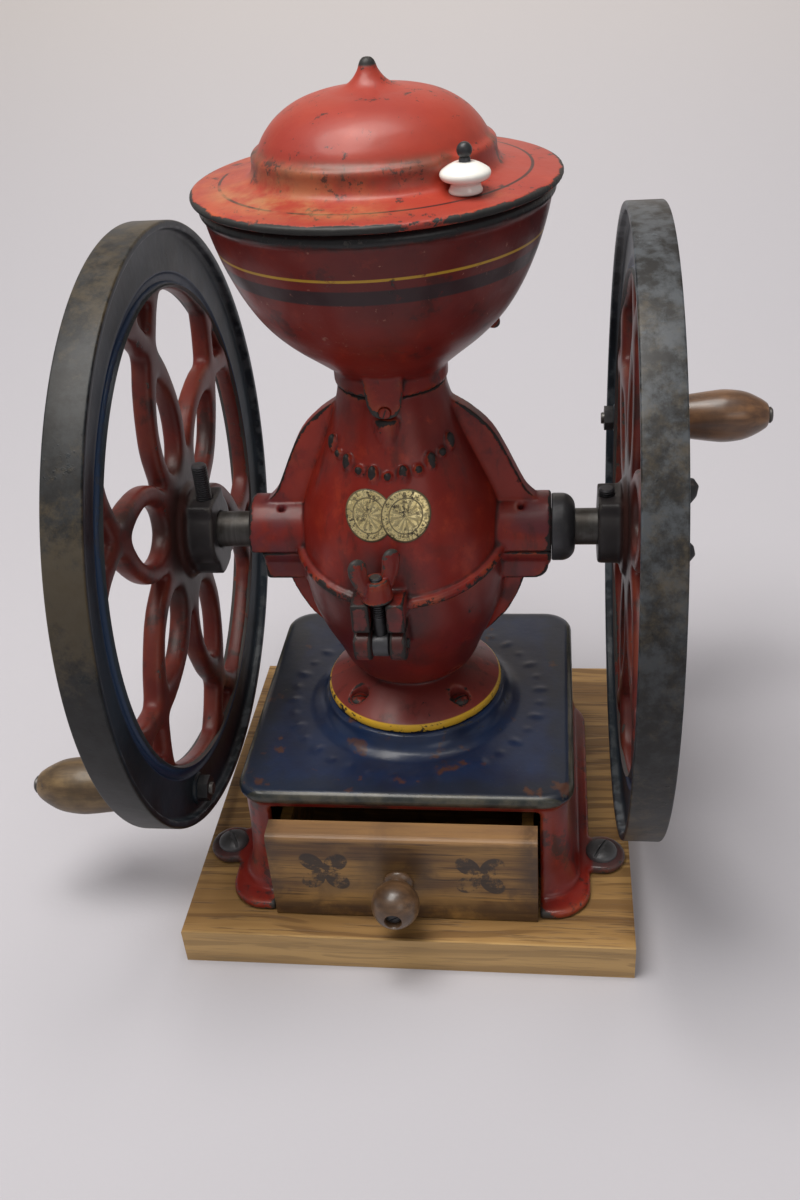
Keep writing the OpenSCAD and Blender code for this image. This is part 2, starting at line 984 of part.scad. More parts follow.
// wheel lying flat: inner face at z = 0, outer face at z = wheel_w
module wheel_flat(turn, handle, hub_top, block) {
    difference() {
        union() {
            rotate([0, 0, turn])
                wheel_web();
            translate([0, 0, -hub_top])
                cylinder(r = 19, h = hub_top + 8);
            translate([-block[2], block[0], -hub_top])
                cube([2 * block[2], block[1] - block[0], hub_top + 2]);
            rotate([0, 0, handle])
                translate([handle_r, 0, web_in - 1.5])
                    cylinder(r = 9, h = web_out - web_in + 3);
        }
        translate([0, 0, -40])
            cylinder(r = shaft_r + seat / 2, h = 80);
        rotate([0, 0, handle])
            translate([handle_r, 0, -over])
                cylinder(r = spindle_r, h = 40);
        translate([0, 0, set_screw_x - wheel_x])
            rotate([-90, 0, 0])
                cylinder(r = set_screw_r, h = 60);
    }
}

// puts a flat wheel upright on the axle; side = 1 right, -1 left
module on_axle(side) {
    translate([side * wheel_x, 0, axle_z])
        mirror([side > 0 ? 0 : 1, 0, 0])
            rotate([90, 0, 90])
                children();
}

module left_wheel() {
    color(iron)
        on_axle(-1)
            wheel_flat(left_turn, left_handle, 13, [-24, 19.5, 13]);
}

module right_wheel() {
    color(iron)
        on_axle(1)
            wheel_flat(right_turn, right_handle, 10.8, [-16, 19, 13]);
}

module wheel_set_screws() {
    color(iron)
        for (side = [-1, 1])
            on_axle(side)
                translate([0, 0, set_screw_x - wheel_x])
                    rotate([-90, 0, 0])
                        translate([0, 0, shaft_r + seat])
                            cylinder(r = set_screw_r - seat / 2, h = side < 0 ? 28.5 : 12);
}

// handle bolts with a collar against the web and a washer at the grip's tip
module handle_spindle() {
    translate([handle_r, 0, 0]) {
        translate([0, 0, -4])
            cylinder(r = spindle_r, h = grip_tip - wheel_x + 4);
        translate([0, 0, web_out + 1.6])
            cylinder(r = 6, h = 4.2);
        translate([0, 0, grip_tip - wheel_x - 2])
            cylinder(r = 5, h = 2.4);
    }
}

module handle_spindles() {
    color(steel) {
        on_axle(-1)
            rotate([0, 0, left_handle])
                handle_spindle();
        on_axle(1)
            rotate([0, 0, right_handle])
                handle_spindle();
    }
}

module handle_nut() {
    translate([handle_r, 0, web_in - 1.5 - 5.6])
        difference() {
            cylinder(r = 7.5, h = 5.5, $fn = 6);
            translate([0, 0, -over])
                cylinder(r = spindle_r, h = 10);
        }
}

module handle_nuts() {
    color(iron) {
        on_axle(-1)
            rotate([0, 0, left_handle])
                handle_nut();
        on_axle(1)
            rotate([0, 0, right_handle])
                handle_nut();
    }
}

// turned grip, from the wheel side to the tip
module grip() {
    grip_start = web_out + 6;
    grip_len = grip_tip - wheel_x - 2.2 - grip_start;
    outline = spline([[10, 0], [10.8, 8], [13.2, 26], [15.6, 44], [16, 52], [14.6, 62],
        [11, 70], [6.5, grip_len]], 3);
    translate([handle_r, 0, grip_start])
        rotate_extrude()
            polygon(concat([[spindle_r + fit, 0]], outline, [[spindle_r + fit, grip_len]]));
}

module left_grip() {
    color(brown)
        on_axle(-1)
            rotate([0, 0, left_handle])
                grip();
}

module right_grip() {
    color(brown)
        on_axle(1)
            rotate([0, 0, right_handle])
                grip();
}

// ---- latch ----

module latch_pin() {
    color(iron)
        axle_rod(latch_pin_r, latch_x - fork_half - 1, latch_x + fork_half + 1, latch_y, latch_z);
}

module swing_bolt() {
    color(iron)
        difference() {
            union() {
                axle_rod(6.5, latch_x - slot_half, latch_x + slot_half, latch_y, latch_z);
                translate([latch_x, latch_y, latch_z])
                    cylinder(r = bolt_r, h = bolt_top - latch_z);
            }
            axle_rod(latch_pin_r + fit, latch_x - 20, latch_x + 20, latch_y, latch_z);
        }
}

module wing_nut() {
    wing_t = 4.5;
    color(red)
        difference() {
            translate([latch_x, latch_y, nut_z])
                rotate([0, 0, 32])
                    union() {
                        cylinder(r1 = nut_r, r2 = nut_r - 1.5, h = nut_h);
                        for (s = [-1, 1])
                            hull() {
                                translate([s * 5, wing_t / 2, 5])
                                    rotate([90, 0, 0])
                                        cylinder(r = 3.5, h = wing_t, $fn = 32);
                                translate([s * 9.2, wing_t / 2, 20.5])
                                    rotate([90, 0, 0])
                                        cylinder(r = 4.2, h = wing_t, $fn = 32);
                            }
                    }
            translate([latch_x, latch_y, nut_z - over])
                cylinder(r = bolt_r + fit, h = 40);
        }
}

// ---- drawer ----

module drawer_front() {
    round_r = 3;
    color(brown)
        difference() {
            translate([-drawer_w / 2, front_y, drawer_z])
                rotate([90, 0, 90])
                    linear_extrude(height = drawer_w)
                        polygon(concat([[0, 0], [front_t, 0], [front_t, drawer_h]],
                            arc(round_r, drawer_h - round_r, round_r, 90, 180, 4)));
            translate([-2, front_y + front_t + over, knob_z])
                rotate([90, 0, 0])
                    cylinder(r = knob_screw_r, h = 40);
        }
}

module drawer_side(s) {
    translate([s > 0 ? box_half - board_t : -box_half, front_y + front_t + seat, drawer_z])
        cube([board_t, box_len, box_h]);
}

module drawer_left_side() {
    color(brown) drawer_side(-1);
}

module drawer_right_side() {
    color(brown) drawer_side(1);
}

module drawer_back() {
    color(brown)
        translate([-box_half + board_t + seat, front_y + front_t + box_len - board_t, drawer_z])
            cube([2 * (box_half - board_t - seat), board_t, box_h]);
}

module drawer_bottom() {
    color(brown)
        translate([-box_half + board_t + seat, front_y + front_t + seat, drawer_z + 1])
            cube([2 * (box_half - board_t - seat), box_len - board_t - 2 * seat, bottom_t]);
}

module drawer_knob() {
    ball = knob_r + 1.8;
    color(brown)
        translate([-2, front_y - seat, knob_z])
            rotate([90, 0, 0])
                difference() {
                    rotate_extrude()
                        polygon(concat([[0, 0], [8, 0], [8, 1.5], [5.8, 3], [6.4, 4.4]],
                            arc(0, ball + 1, knob_r, -50, 68, 10), [[0, 2 * ball - 2.2]]));
                    translate([0, 0, -over])
                        cylinder(r = knob_screw_r + 0.05, h = 40);
                    translate([0, 0, ball + 9])
                        cylinder(r = 4.2, h = 20);
                }
}

module drawer_knob_screw() {
    color(iron)
        translate([-2, front_y - seat, knob_z])
            rotate([90, 0, 0])
                translate([0, 0, knob_r + 10.9])
                    slotted_screw(knob_screw_r, 30, 3.9, 1.4);
}

display_board();
base_casting();
base_screws();
lower_casing();
pedestal_screws();
upper_casing();
hinge_pin();
hopper();
hopper_screw();
lid();
lid_pivot_screw();
lid_knob();
lid_knob_screw();
main_shaft();
thrust_cap();
fixed_burr();
burr_screws();
feed_worm();
moving_burr();
burr_key();
push_rod();
adjusting_screw();
left_wheel();
right_wheel();
wheel_set_screws();
handle_spindles();
handle_nuts();
left_grip();
right_grip();
latch_pin();
swing_bolt();
wing_nut();
drawer_front();
drawer_left_side();
drawer_right_side();
drawer_back();
drawer_bottom();
drawer_knob();
drawer_knob_screw();
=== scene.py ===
import json
import math
import random

import bmesh
import bpy
import numpy as np
from mathutils import Matrix, Vector


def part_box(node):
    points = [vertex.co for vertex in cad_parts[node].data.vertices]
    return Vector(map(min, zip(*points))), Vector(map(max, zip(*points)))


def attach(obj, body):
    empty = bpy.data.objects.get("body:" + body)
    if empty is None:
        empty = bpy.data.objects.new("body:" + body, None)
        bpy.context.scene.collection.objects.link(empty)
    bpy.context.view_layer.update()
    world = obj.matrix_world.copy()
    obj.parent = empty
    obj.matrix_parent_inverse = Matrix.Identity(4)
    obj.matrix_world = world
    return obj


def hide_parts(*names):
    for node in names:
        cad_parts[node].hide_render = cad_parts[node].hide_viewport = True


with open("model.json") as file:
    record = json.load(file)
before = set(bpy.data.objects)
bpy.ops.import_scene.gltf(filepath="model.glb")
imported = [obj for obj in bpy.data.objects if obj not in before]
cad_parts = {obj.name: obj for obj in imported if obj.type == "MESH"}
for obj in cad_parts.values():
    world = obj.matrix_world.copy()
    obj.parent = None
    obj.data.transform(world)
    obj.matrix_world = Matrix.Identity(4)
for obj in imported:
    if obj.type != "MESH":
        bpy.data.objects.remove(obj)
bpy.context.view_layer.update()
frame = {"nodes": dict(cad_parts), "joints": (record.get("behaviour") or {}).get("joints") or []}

# Everything below is in millimetres in the CAD frame; meshes are scaled to metres when made.
MM = 0.001
TAU = 2 * math.pi
scene = bpy.context.scene


# ---- sizes taken from the frame ----

def span(node):
    """Lowest and highest corners of a CAD node, in millimetres."""
    low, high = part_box(node)
    return Vector(low) / MM, Vector(high) / MM


JOINTS = {j["name"]: j for j in frame["joints"]}
AXLE_Z = JOINTS["shaft_spin"]["pos_m"][2] / MM
BOARD_TOP = span("display_board")[1].z
BASE_LOW, BASE_HIGH = span("base_casting")
PLINTH_TOP = BASE_HIGH.z
PLATE_TOP = PLINTH_TOP - 11
HOPPER_Z = span("hopper")[1].z - 91.8
RIM_Z = span("hopper")[1].z
LID_R = span("lid")[1].x
TIP_Z = span("lid")[1].z
BOSS_LEFT = -span("upper_casing")[0].x
BOSS_RIGHT = span("upper_casing")[1].x
SHAFT_R = (span("main_shaft")[1].z - span("main_shaft")[0].z) / 2
WHEEL_R = span("left_wheel")[1].z - AXLE_Z
WHEEL_OUT = span("right_wheel")[1].x
WHEEL_W = 18.5
WHEEL_IN = WHEEL_OUT - WHEEL_W
LATCH = Vector(JOINTS["latch_swing"]["pos_m"]) / MM
LUG_X = span("base_screws")[1].x - 8.6
LUG_Y = (span("base_screws")[0].y + span("base_screws")[1].y) / 2
LOWER_LEFT = -span("lower_casing")[0].x
KNOB_LOW, KNOB_HIGH = span("lid_knob")
KNOB = (KNOB_LOW + KNOB_HIGH) / 2
TONGUE_Z = span("hopper")[0].z
PEDESTAL_SCREWS = [(39 * math.cos(a), 39 * math.sin(a)) for a in
                   (math.radians(-135 + 90 * k) for k in range(4))]
PIVOT = Vector(JOINTS["lid_swivel"]["pos_m"]) / MM
TILT = math.radians(15)
SEAT = 0.1
FAR = 400


# ---- curves and outlines ----

def spline(points, steps):
    """Smooth curve through the points, with that many steps to each span."""
    p = [Vector(q) for q in points]
    out = []
    for i in range(len(p) - 1):
        a, b, c, d = p[max(i - 1, 0)], p[i], p[i + 1], p[min(i + 2, len(p) - 1)]
        for k in range(steps):
            t = k / steps
            out.append(0.5 * (2 * b + (c - a) * t + (2 * a - 5 * b + 4 * c - d) * t * t
                              + (3 * b - a - 3 * c + d) * t ** 3))
    return out + [p[-1]]


def arc(cx, cy, radius, start, end, steps=6):
    """Points of a circular arc, angles in degrees."""
    angles = [math.radians(start + (end - start) * k / steps) for k in range(steps + 1)]
    return [Vector((cx + radius * math.cos(a), cy + radius * math.sin(a))) for a in angles]


def vecs(points):
    return [Vector(p) for p in points]


# ---- mesh building ----

def make(name, verts, faces):
    """Object from vertices in millimetres, its normals made consistent."""
    mesh = bpy.data.meshes.new(name)
    mesh.from_pydata([tuple(Vector(v) * MM) for v in verts], [], faces)
    bm = bmesh.new()
    bm.from_mesh(mesh)
    bmesh.ops.remove_doubles(bm, verts=bm.verts, dist=1e-7)
    bmesh.ops.dissolve_degenerate(bm, dist=1e-8, edges=bm.edges)
    bmesh.ops.recalc_face_normals(bm, faces=bm.faces)
    bm.to_mesh(mesh)
    bm.free()
    mesh.shade_smooth()
    ob = bpy.data.objects.new(name, mesh)
    scene.collection.objects.link(ob)
    return ob


def lathe(name, profile, matrix=None, segments=128):
    """Closed profile of (radius, height) turned about Z, then placed by matrix."""
    n = len(profile)
    place = matrix or Matrix.Identity(4)
    verts = []
    for s in range(segments):
        a = TAU * s / segments
        verts += [place @ Vector((r * math.cos(a), r * math.sin(a), h)) for r, h in profile]
    faces = []
    for s in range(segments):
        t = (s + 1) % segments
        faces += [(s * n + i, s * n + (i + 1) % n, t * n + (i + 1) % n, t * n + i)
                  for i in range(n)]
    return make(name, verts, faces)


def prism(name, outline, low, high, matrix=None):
    """Closed 2-D outline raised from low to high along Z, then placed by matrix."""
    place = matrix or Matrix.Identity(4)
    n = len(outline)
    verts = [place @ Vector((x, y, z)) for z in (low, high) for x, y in outline]
    faces = [tuple(range(n)), tuple(range(n, 2 * n))]
    faces += [(i, (i + 1) % n, n + (i + 1) % n, n + i) for i in range(n)]
    return make(name, verts, faces)


def loft(name, rings):
    """Skin over rings of equal point counts, with flat ends."""
    n = len(rings[0])
    verts = [p for ring in rings for p in ring]
    faces = [tuple(range(n)), tuple(range((len(rings) - 1) * n, len(rings) * n))]
    for k in range(len(rings) - 1):
        faces += [(k * n + i, k * n + (i + 1) % n, (k + 1) * n + (i + 1) % n, (k + 1) * n + i)
                  for i in range(n)]
    return make(name, verts, faces)


def block(name, low, high):
    (x0, y0, z0), (x1, y1, z1) = low, high
    return prism(name, [(x0, y0), (x1, y0), (x1, y1), (x0, y1)], z0, z1)


def along(axis, origin=(0, 0, 0)):
    """Matrix that turns local Z to point along an axis name such as "+X" or "-Y"."""
    target = Vector({"X": (1, 0, 0), "Y": (0, 1, 0), "Z": (0, 0, 1)}[axis[1]])
    if axis[0] == "-":
        target = -target
    turn = Vector((0, 0, 1)).rotation_difference(target).to_matrix().to_4x4()
    return Matrix.Translation(Vector(origin)) @ turn


def rod(name, radius, low, high, matrix=None, segments=48, edge=0.0):
    """Solid cylinder from low to high, its ends rounded by edge."""
    if edge:
        profile = [(0, low)] + [tuple(p) for p in arc(radius - edge, low + edge, edge, -90, 0, 3)]
        profile += [tuple(p) for p in arc(radius - edge, high - edge, edge, 0, 90, 3)]
        profile += [(0, high)]
    else:
        profile = [(0, low), (radius, low), (radius, high), (0, high)]
    return lathe(name, profile, matrix, segments)


def tube(name, path, radii, closed=False, sides=16, up=Vector((1, 0, 0))):
    """Elliptical tube along a path. radii gives (half width, half height) per point; the height lies along up."""
    rings = []
    n = len(path)
    for i, p in enumerate(path):
        ahead = path[(i + 1) % n] if closed or i < n - 1 else p
        behind = path[i - 1] if closed or i > 0 else p
        forward = (Vector(ahead) - Vector(behind)).normalized()
        side = forward.cross(up).normalized()
        top = side.cross(forward).normalized()
        w, h = radii[i] if isinstance(radii, list) else radii
        rings.append([Vector(p) + side * (w * math.cos(TAU * k / sides))
                      + top * (h * math.sin(TAU * k / sides)) for k in range(sides)])
    if not closed:
        return loft(name, rings)
    verts = [q for ring in rings for q in ring]
    faces = []
    for k in range(n):
        m = (k + 1) % n
        faces += [(k * sides + i, k * sides + (i + 1) % sides, m * sides + (i + 1) % sides,
                   m * sides + i) for i in range(sides)]
    return make(name, verts, faces)


def ball(name, centre, radii, turn=None):
    """Ellipsoid."""
    bm = bmesh.new()
    bmesh.ops.create_icosphere(bm, subdivisions=3, radius=1)
    verts = [Vector(centre) + ((turn or Matrix.Identity(3)) @ Vector([v.co[k] * radii[k] for k in range(3)]))
             for v in bm.verts]
    faces = [tuple(v.index for v in f.verts) for f in bm.faces]
    bm.free()
    return make(name, verts, faces)


def apply_modifiers(ob):
    graph = bpy.context.evaluated_depsgraph_get()
    mesh = bpy.data.meshes.new_from_object(ob.evaluated_get(graph), depsgraph=graph)
    ob.modifiers.clear()
    old = ob.data
    ob.data = mesh
    bpy.data.meshes.remove(old)
    return ob


def boolean(ob, others, operation):
    """Adds, cuts or keeps with the other solids, which are used up."""
    for other in others:
        m = ob.modifiers.new("solid", "BOOLEAN")
        m.operation = operation
        m.solver = "MANIFOLD"
        m.object = other
    apply_modifiers(ob)
    for other in others:
        bpy.data.objects.remove(other)
    return ob


def join(ob, *others):
    return boolean(ob, others, "UNION")


def cut(ob, *others):
    return boolean(ob, others, "DIFFERENCE")


def keep(ob, *others):
    return boolean(ob, others, "INTERSECT")


def neighbours_mean(values, edges, degree):
    """Mean of each vertex's neighbours."""
    total = np.zeros_like(values)
    for c in range(values.shape[1]):
        total[:, c] = np.bincount(edges[:, 0], values[edges[:, 1], c], len(values))
        total[:, c] += np.bincount(edges[:, 1], values[edges[:, 0], c], len(values))
    return total / degree[:, None]


def mesh_arrays(mesh):
    co = np.empty(len(mesh.vertices) * 3)
    mesh.vertices.foreach_get("co", co)
    edges = np.empty(len(mesh.edges) * 2, np.int64)
    mesh.edges.foreach_get("vertices", edges)
    edges = edges.reshape(-1, 2)
    degree = np.maximum(np.bincount(edges.ravel(), minlength=len(mesh.vertices)), 1)
    return co.reshape(-1, 3), edges, degree.astype(float)


def cast(ob, voxel, rounds=3):
    """Remeshes a solid at the voxel size and rounds its edges, as a sand casting is rounded."""
    m = ob.modifiers.new("cast", "REMESH")
    m.mode = "VOXEL"
    m.voxel_size = voxel * MM
    apply_modifiers(ob)
    co, edges, degree = mesh_arrays(ob.data)
    for _ in range(rounds):
        co = 0.5 * co + 0.5 * neighbours_mean(co, edges, degree)
    ob.data.vertices.foreach_set("co", co.ravel())
    ob.data.update()
    ob.data.shade_smooth()
    return ob


def mark_edges(ob, size):
    """Stores how much each vertex stands out (edge) or lies back (cavity) over about size millimetres."""
    mesh = ob.data
    co, edges, degree = mesh_arrays(mesh)
    length = np.linalg.norm(co[edges[:, 0]] - co[edges[:, 1]], axis=1).mean()
    steps = int(max(3, min(60, (size * MM / length) ** 2)))
    normals = np.empty(len(mesh.vertices) * 3)
    mesh.vertices.foreach_get("normal", normals)
    normals = normals.reshape(-1, 3)
    soft = co
    for _ in range(steps):
        soft = 0.4 * soft + 0.6 * neighbours_mean(soft, edges, degree)
    stand = ((co - soft) * normals).sum(1) / (size * MM)
    for name, values in (("edge", stand), ("cavity", -stand)):
        layer = mesh.attributes.new(name, "FLOAT", "POINT")
        layer.data.foreach_set("value", np.clip(values * 4, 0, 1).astype(np.float32))
    return ob


# ---- node materials ----

class Paint:
    """Small helper that builds a node material one socket at a time."""

    def __init__(self, name):
        self.material = bpy.data.materials.new(name)
        self.material.use_nodes = True
        self.tree = self.material.node_tree
        self.tree.nodes.clear()
        self.place = self.node("ShaderNodeTexCoord").outputs["Object"]
        split = self.node("ShaderNodeSeparateXYZ", self.place)
        self.x, self.y, self.z = split.outputs

    def node(self, kind, *inputs, **options):
        made = self.tree.nodes.new(kind)
        for key, value in options.items():
            setattr(made, key, value)
        for k, value in enumerate(inputs):
            self.feed(made.inputs[k], value)
        return made

    def feed(self, socket, value):
        if value is None:
            return
        if isinstance(value, bpy.types.NodeSocket):
            self.tree.links.new(value, socket)
        elif isinstance(value, tuple) and len(value) == 3 and socket.type == "RGBA":
            socket.default_value = value + (1.0,)
        else:
            socket.default_value = value

    def math(self, operation, a, b=0.0, c=0.0, clamp=False):
        return self.node("ShaderNodeMath", a, b, c, operation=operation, use_clamp=clamp).outputs[0]

    def add(self, a, b):
        return self.math("ADD", a, b)

    def mul(self, a, b):
        return self.math("MULTIPLY", a, b)

    def step(self, value, low, high):
        """0 below low, 1 above high, smooth between; low may be above high."""
        made = self.node("ShaderNodeMapRange", value, low, high, 0.0, 1.0,
                         interpolation_type="SMOOTHSTEP", clamp=True)
        return made.outputs[0]

    def band(self, value, low, high, soft):
        """1 between low and high."""
        rise = self.step(value, low - soft, low + soft)
        fall = self.step(value, high + soft, high - soft)
        return self.mul(rise, fall)

    def stretch(self, x, y, z):
        """Object position scaled by axis."""
        made = self.node("ShaderNodeMapping", self.place)
        made.inputs["Scale"].default_value = (x, y, z)
        return made.outputs[0]

    def noise(self, scale, detail=3.0, rough=0.55, place=None, seed=0.0, warp=0.0):
        made = self.node("ShaderNodeTexNoise", noise_dimensions="4D")
        self.feed(made.inputs["Vector"], place or self.place)
        made.inputs["W"].default_value = seed
        made.inputs["Scale"].default_value = scale
        made.inputs["Detail"].default_value = detail
        made.inputs["Roughness"].default_value = rough
        made.inputs["Distortion"].default_value = warp
        return made.outputs[0]

    def cells(self, scale, place=None, feature="F1"):
        made = self.node("ShaderNodeTexVoronoi", feature=feature)
        self.feed(made.inputs["Vector"], place or self.place)
        made.inputs["Scale"].default_value = scale
        return made.outputs["Distance"]

    def mix(self, share, a, b):
        made = self.node("ShaderNodeMix", data_type="RGBA")
        self.feed(made.inputs[0], share)
        self.feed(made.inputs[6], a)
        self.feed(made.inputs[7], b)
        return made.outputs[2]

    def blend(self, share, a, b):
        made = self.node("ShaderNodeMix", data_type="FLOAT")
        self.feed(made.inputs[0], share)
        self.feed(made.inputs[2], a)
        self.feed(made.inputs[3], b)
        return made.outputs[0]

    def attribute(self, name):
        return self.node("ShaderNodeAttribute", attribute_name=name).outputs["Fac"]

    def radius(self, a, b):
        """Distance of (a, b) from the origin."""
        return self.math("SQRT", self.add(self.mul(a, a), self.mul(b, b)))

    def finish(self, colour, rough, bump=None, depth=0.1, metal=0.0, coat=0.0, specular=0.5):
        shader = self.node("ShaderNodeBsdfPrincipled")
        self.feed(shader.inputs["Base Color"], colour)
        self.feed(shader.inputs["Roughness"], rough)
        self.feed(shader.inputs["Metallic"], metal)
        self.feed(shader.inputs["Coat Weight"], coat)
        shader.inputs["Coat Roughness"].default_value = 0.18
        self.feed(shader.inputs["Specular IOR Level"], specular)
        if bump is not None:
            made = self.node("ShaderNodeBump")
            made.inputs["Strength"].default_value = 1.0
            made.inputs["Distance"].default_value = depth * MM
            self.feed(made.inputs["Height"], bump)
            self.tree.links.new(made.outputs[0], shader.inputs["Normal"])
        out = self.node("ShaderNodeOutputMaterial")
        self.tree.links.new(shader.outputs[0], out.inputs[0])
        return self.material


RED = (0.225, 0.0140, 0.0075)
RED_DEEP = (0.105, 0.0068, 0.0060)
RED_BRIGHT = (0.34, 0.032, 0.012)
LID_RED = (0.44, 0.052, 0.026)
ORANGE = (0.55, 0.15, 0.045)
NAVY = (0.012, 0.031, 0.092)
NAVY_DEEP = (0.010, 0.014, 0.034)
BARE = (0.060, 0.055, 0.052)
BLACK = (0.012, 0.012, 0.013)
BRASSY = (0.125, 0.092, 0.048)
YELLOW = (0.72, 0.42, 0.030)


def chips(p, amount, seed=0.0):
    """Share of bare metal: broken wear along standing edges, and scattered flecks."""
    patchy = p.noise(42, 5, 0.7, seed=seed)
    fine = p.noise(230, 4, 0.7, seed=seed + 3)
    worn = p.add(p.mul(p.attribute("edge"), 0.34), p.mul(p.add(patchy, fine), 0.55))
    rubbed = p.step(worn, 0.80 - amount, 0.84 - amount)
    flakes = p.noise(120, 6, 0.78, seed=seed + 7)
    where = p.noise(13, 3, 0.6, seed=seed + 8)
    fleck = p.step(p.add(flakes, p.mul(where, 0.16)), 0.745 - amount * 0.3, 0.765 - amount * 0.3)
    return p.math("MAXIMUM", rubbed, fleck)


def red_enamel(p, amount=0.06, seed=0.0):
    """Colour and chip share of the old red paint."""
    drift = p.noise(11, 4, 0.55, seed=seed)
    mottled = p.noise(70, 6, 0.7, seed=seed + 1)
    colour = p.mix(p.step(drift, 0.34, 0.62), RED_DEEP, RED)
    colour = p.mix(p.step(p.add(mottled, p.mul(drift, 0.5)), 0.80, 1.02), colour, RED_BRIGHT)
    rubbed = p.mul(p.attribute("edge"), p.step(p.noise(55, 4, 0.6, seed=seed + 2), 0.40, 0.60))
    colour = p.mix(p.mul(rubbed, 0.45), colour, ORANGE)
    smear = p.step(p.noise(33, 5, 0.65, seed=seed + 6), 0.52, 0.70)
    colour = p.mix(p.mul(smear, 0.42), colour, (0.060, 0.014, 0.014))
    dirt = p.step(p.add(p.attribute("cavity"), p.mul(p.noise(24, 4, seed=seed + 5), 0.5)), 0.46, 0.95)
    colour = p.mix(p.mul(dirt, 0.85), colour, (0.020, 0.008, 0.008))
    return colour, chips(p, amount, seed)


def finish_paint(p, colour, chipped, under=BARE, gloss=0.36, coat=0.12, specular=0.36):
    """Puts the chips in and adds the orange-peel surface of brushed enamel over sand-cast iron."""
    under_colour = p.mix(p.noise(150, 3), under, tuple(c * 0.45 for c in under))
    colour = p.mix(chipped, colour, under_colour)
    smudge = p.noise(45, 4, 0.6, seed=11)
    rough = p.blend(chipped, p.blend(smudge, gloss - 0.08, gloss + 0.16), 0.52)
    height = p.add(p.mul(p.noise(260, 4, 0.6), 0.5), p.mul(p.noise(70, 3, 0.5), 0.9))
    height = p.add(height, p.mul(chipped, -0.8))
    return p.finish(colour, rough, height, 0.22, coat=p.mul(p.math("SUBTRACT", 1.0, chipped), coat),
                    specular=specular)


def plain_red(name, amount=0.06, seed=0.0):
    p = Paint(name)
    colour, chipped = red_enamel(p, amount, seed)
    return finish_paint(p, colour, chipped)


def casing_paint(name, seed):
    """Red enamel, yellow on the pedestal's edge, and darkened round the latch and bearings."""
    p = Paint(name)
    colour, chipped = red_enamel(p, 0.075, seed)
    smoky = p.mul(p.step(p.noise(30, 4, seed=4), 0.38, 0.62), p.step(p.radius(p.x, p.add(p.z, -AXLE_Z * MM)), 0.052, 0.018))
    front = p.step(p.y, -0.040, -0.052)
    colour = p.mix(p.mul(p.mul(smoky, front), 0.35), colour, (0.085, 0.018, 0.028))
    arms = p.step(p.math("ABSOLUTE", p.x), 0.050, 0.064)
    colour = p.mix(p.mul(arms, p.step(p.noise(40, 4, seed=8), 0.42, 0.60)), colour, (0.13, 0.022, 0.028))
    flank = p.mul(p.band(p.math("ABSOLUTE", p.x), 0.030, 0.064, 0.004), p.step(p.math("ABSOLUTE", p.y), 0.0062, 0.0050))
    flank = p.mul(flank, p.step(p.noise(34, 5, 0.65, seed=30), 0.34, 0.54))
    colour = p.mix(p.mul(flank, 0.75), colour, (0.36, 0.028, 0.012))
    skirt_at = p.step(p.z, (PLINTH_TOP + 20) * MM, (PLINTH_TOP + 9) * MM)
    colour = p.mix(p.mul(skirt_at, 0.45), colour, (0.30, 0.060, 0.050))
    latch_r = p.radius(p.add(p.x, -LATCH.x * MM), p.mul(p.add(p.z, -(LATCH.z + 10) * MM), 0.7))
    grime = p.mul(p.step(latch_r, 0.034, 0.012), p.step(p.noise(60, 5, 0.65, seed=31), 0.30, 0.56))
    colour = p.mix(p.mul(p.mul(grime, front), 0.80), colour, (0.030, 0.012, 0.011))
    streak = p.noise(1.0, 5, 0.7, place=p.stretch(60, 60, 18), seed=32)
    colour = p.mix(p.mul(p.step(streak, 0.54, 0.66), 0.55), colour, (0.038, 0.011, 0.010))
    ring_low = (PLINTH_TOP + 0.2) * MM
    ring = p.mul(p.band(p.z, ring_low, (PLINTH_TOP + 5.4) * MM, 0.0002),
                 p.step(p.radius(p.x, p.y), 0.0464, 0.0470))
    worn = p.step(p.noise(70, 5, 0.7, seed=2), 0.60, 0.68)
    colour = p.mix(p.mul(ring, p.math("SUBTRACT", 1.0, worn)), colour, YELLOW)
    chipped = p.math("MAXIMUM", chipped, p.mul(ring, p.mul(worn, 0.8)))
    return finish_paint(p, colour, chipped, under=(0.026, 0.020, 0.019))


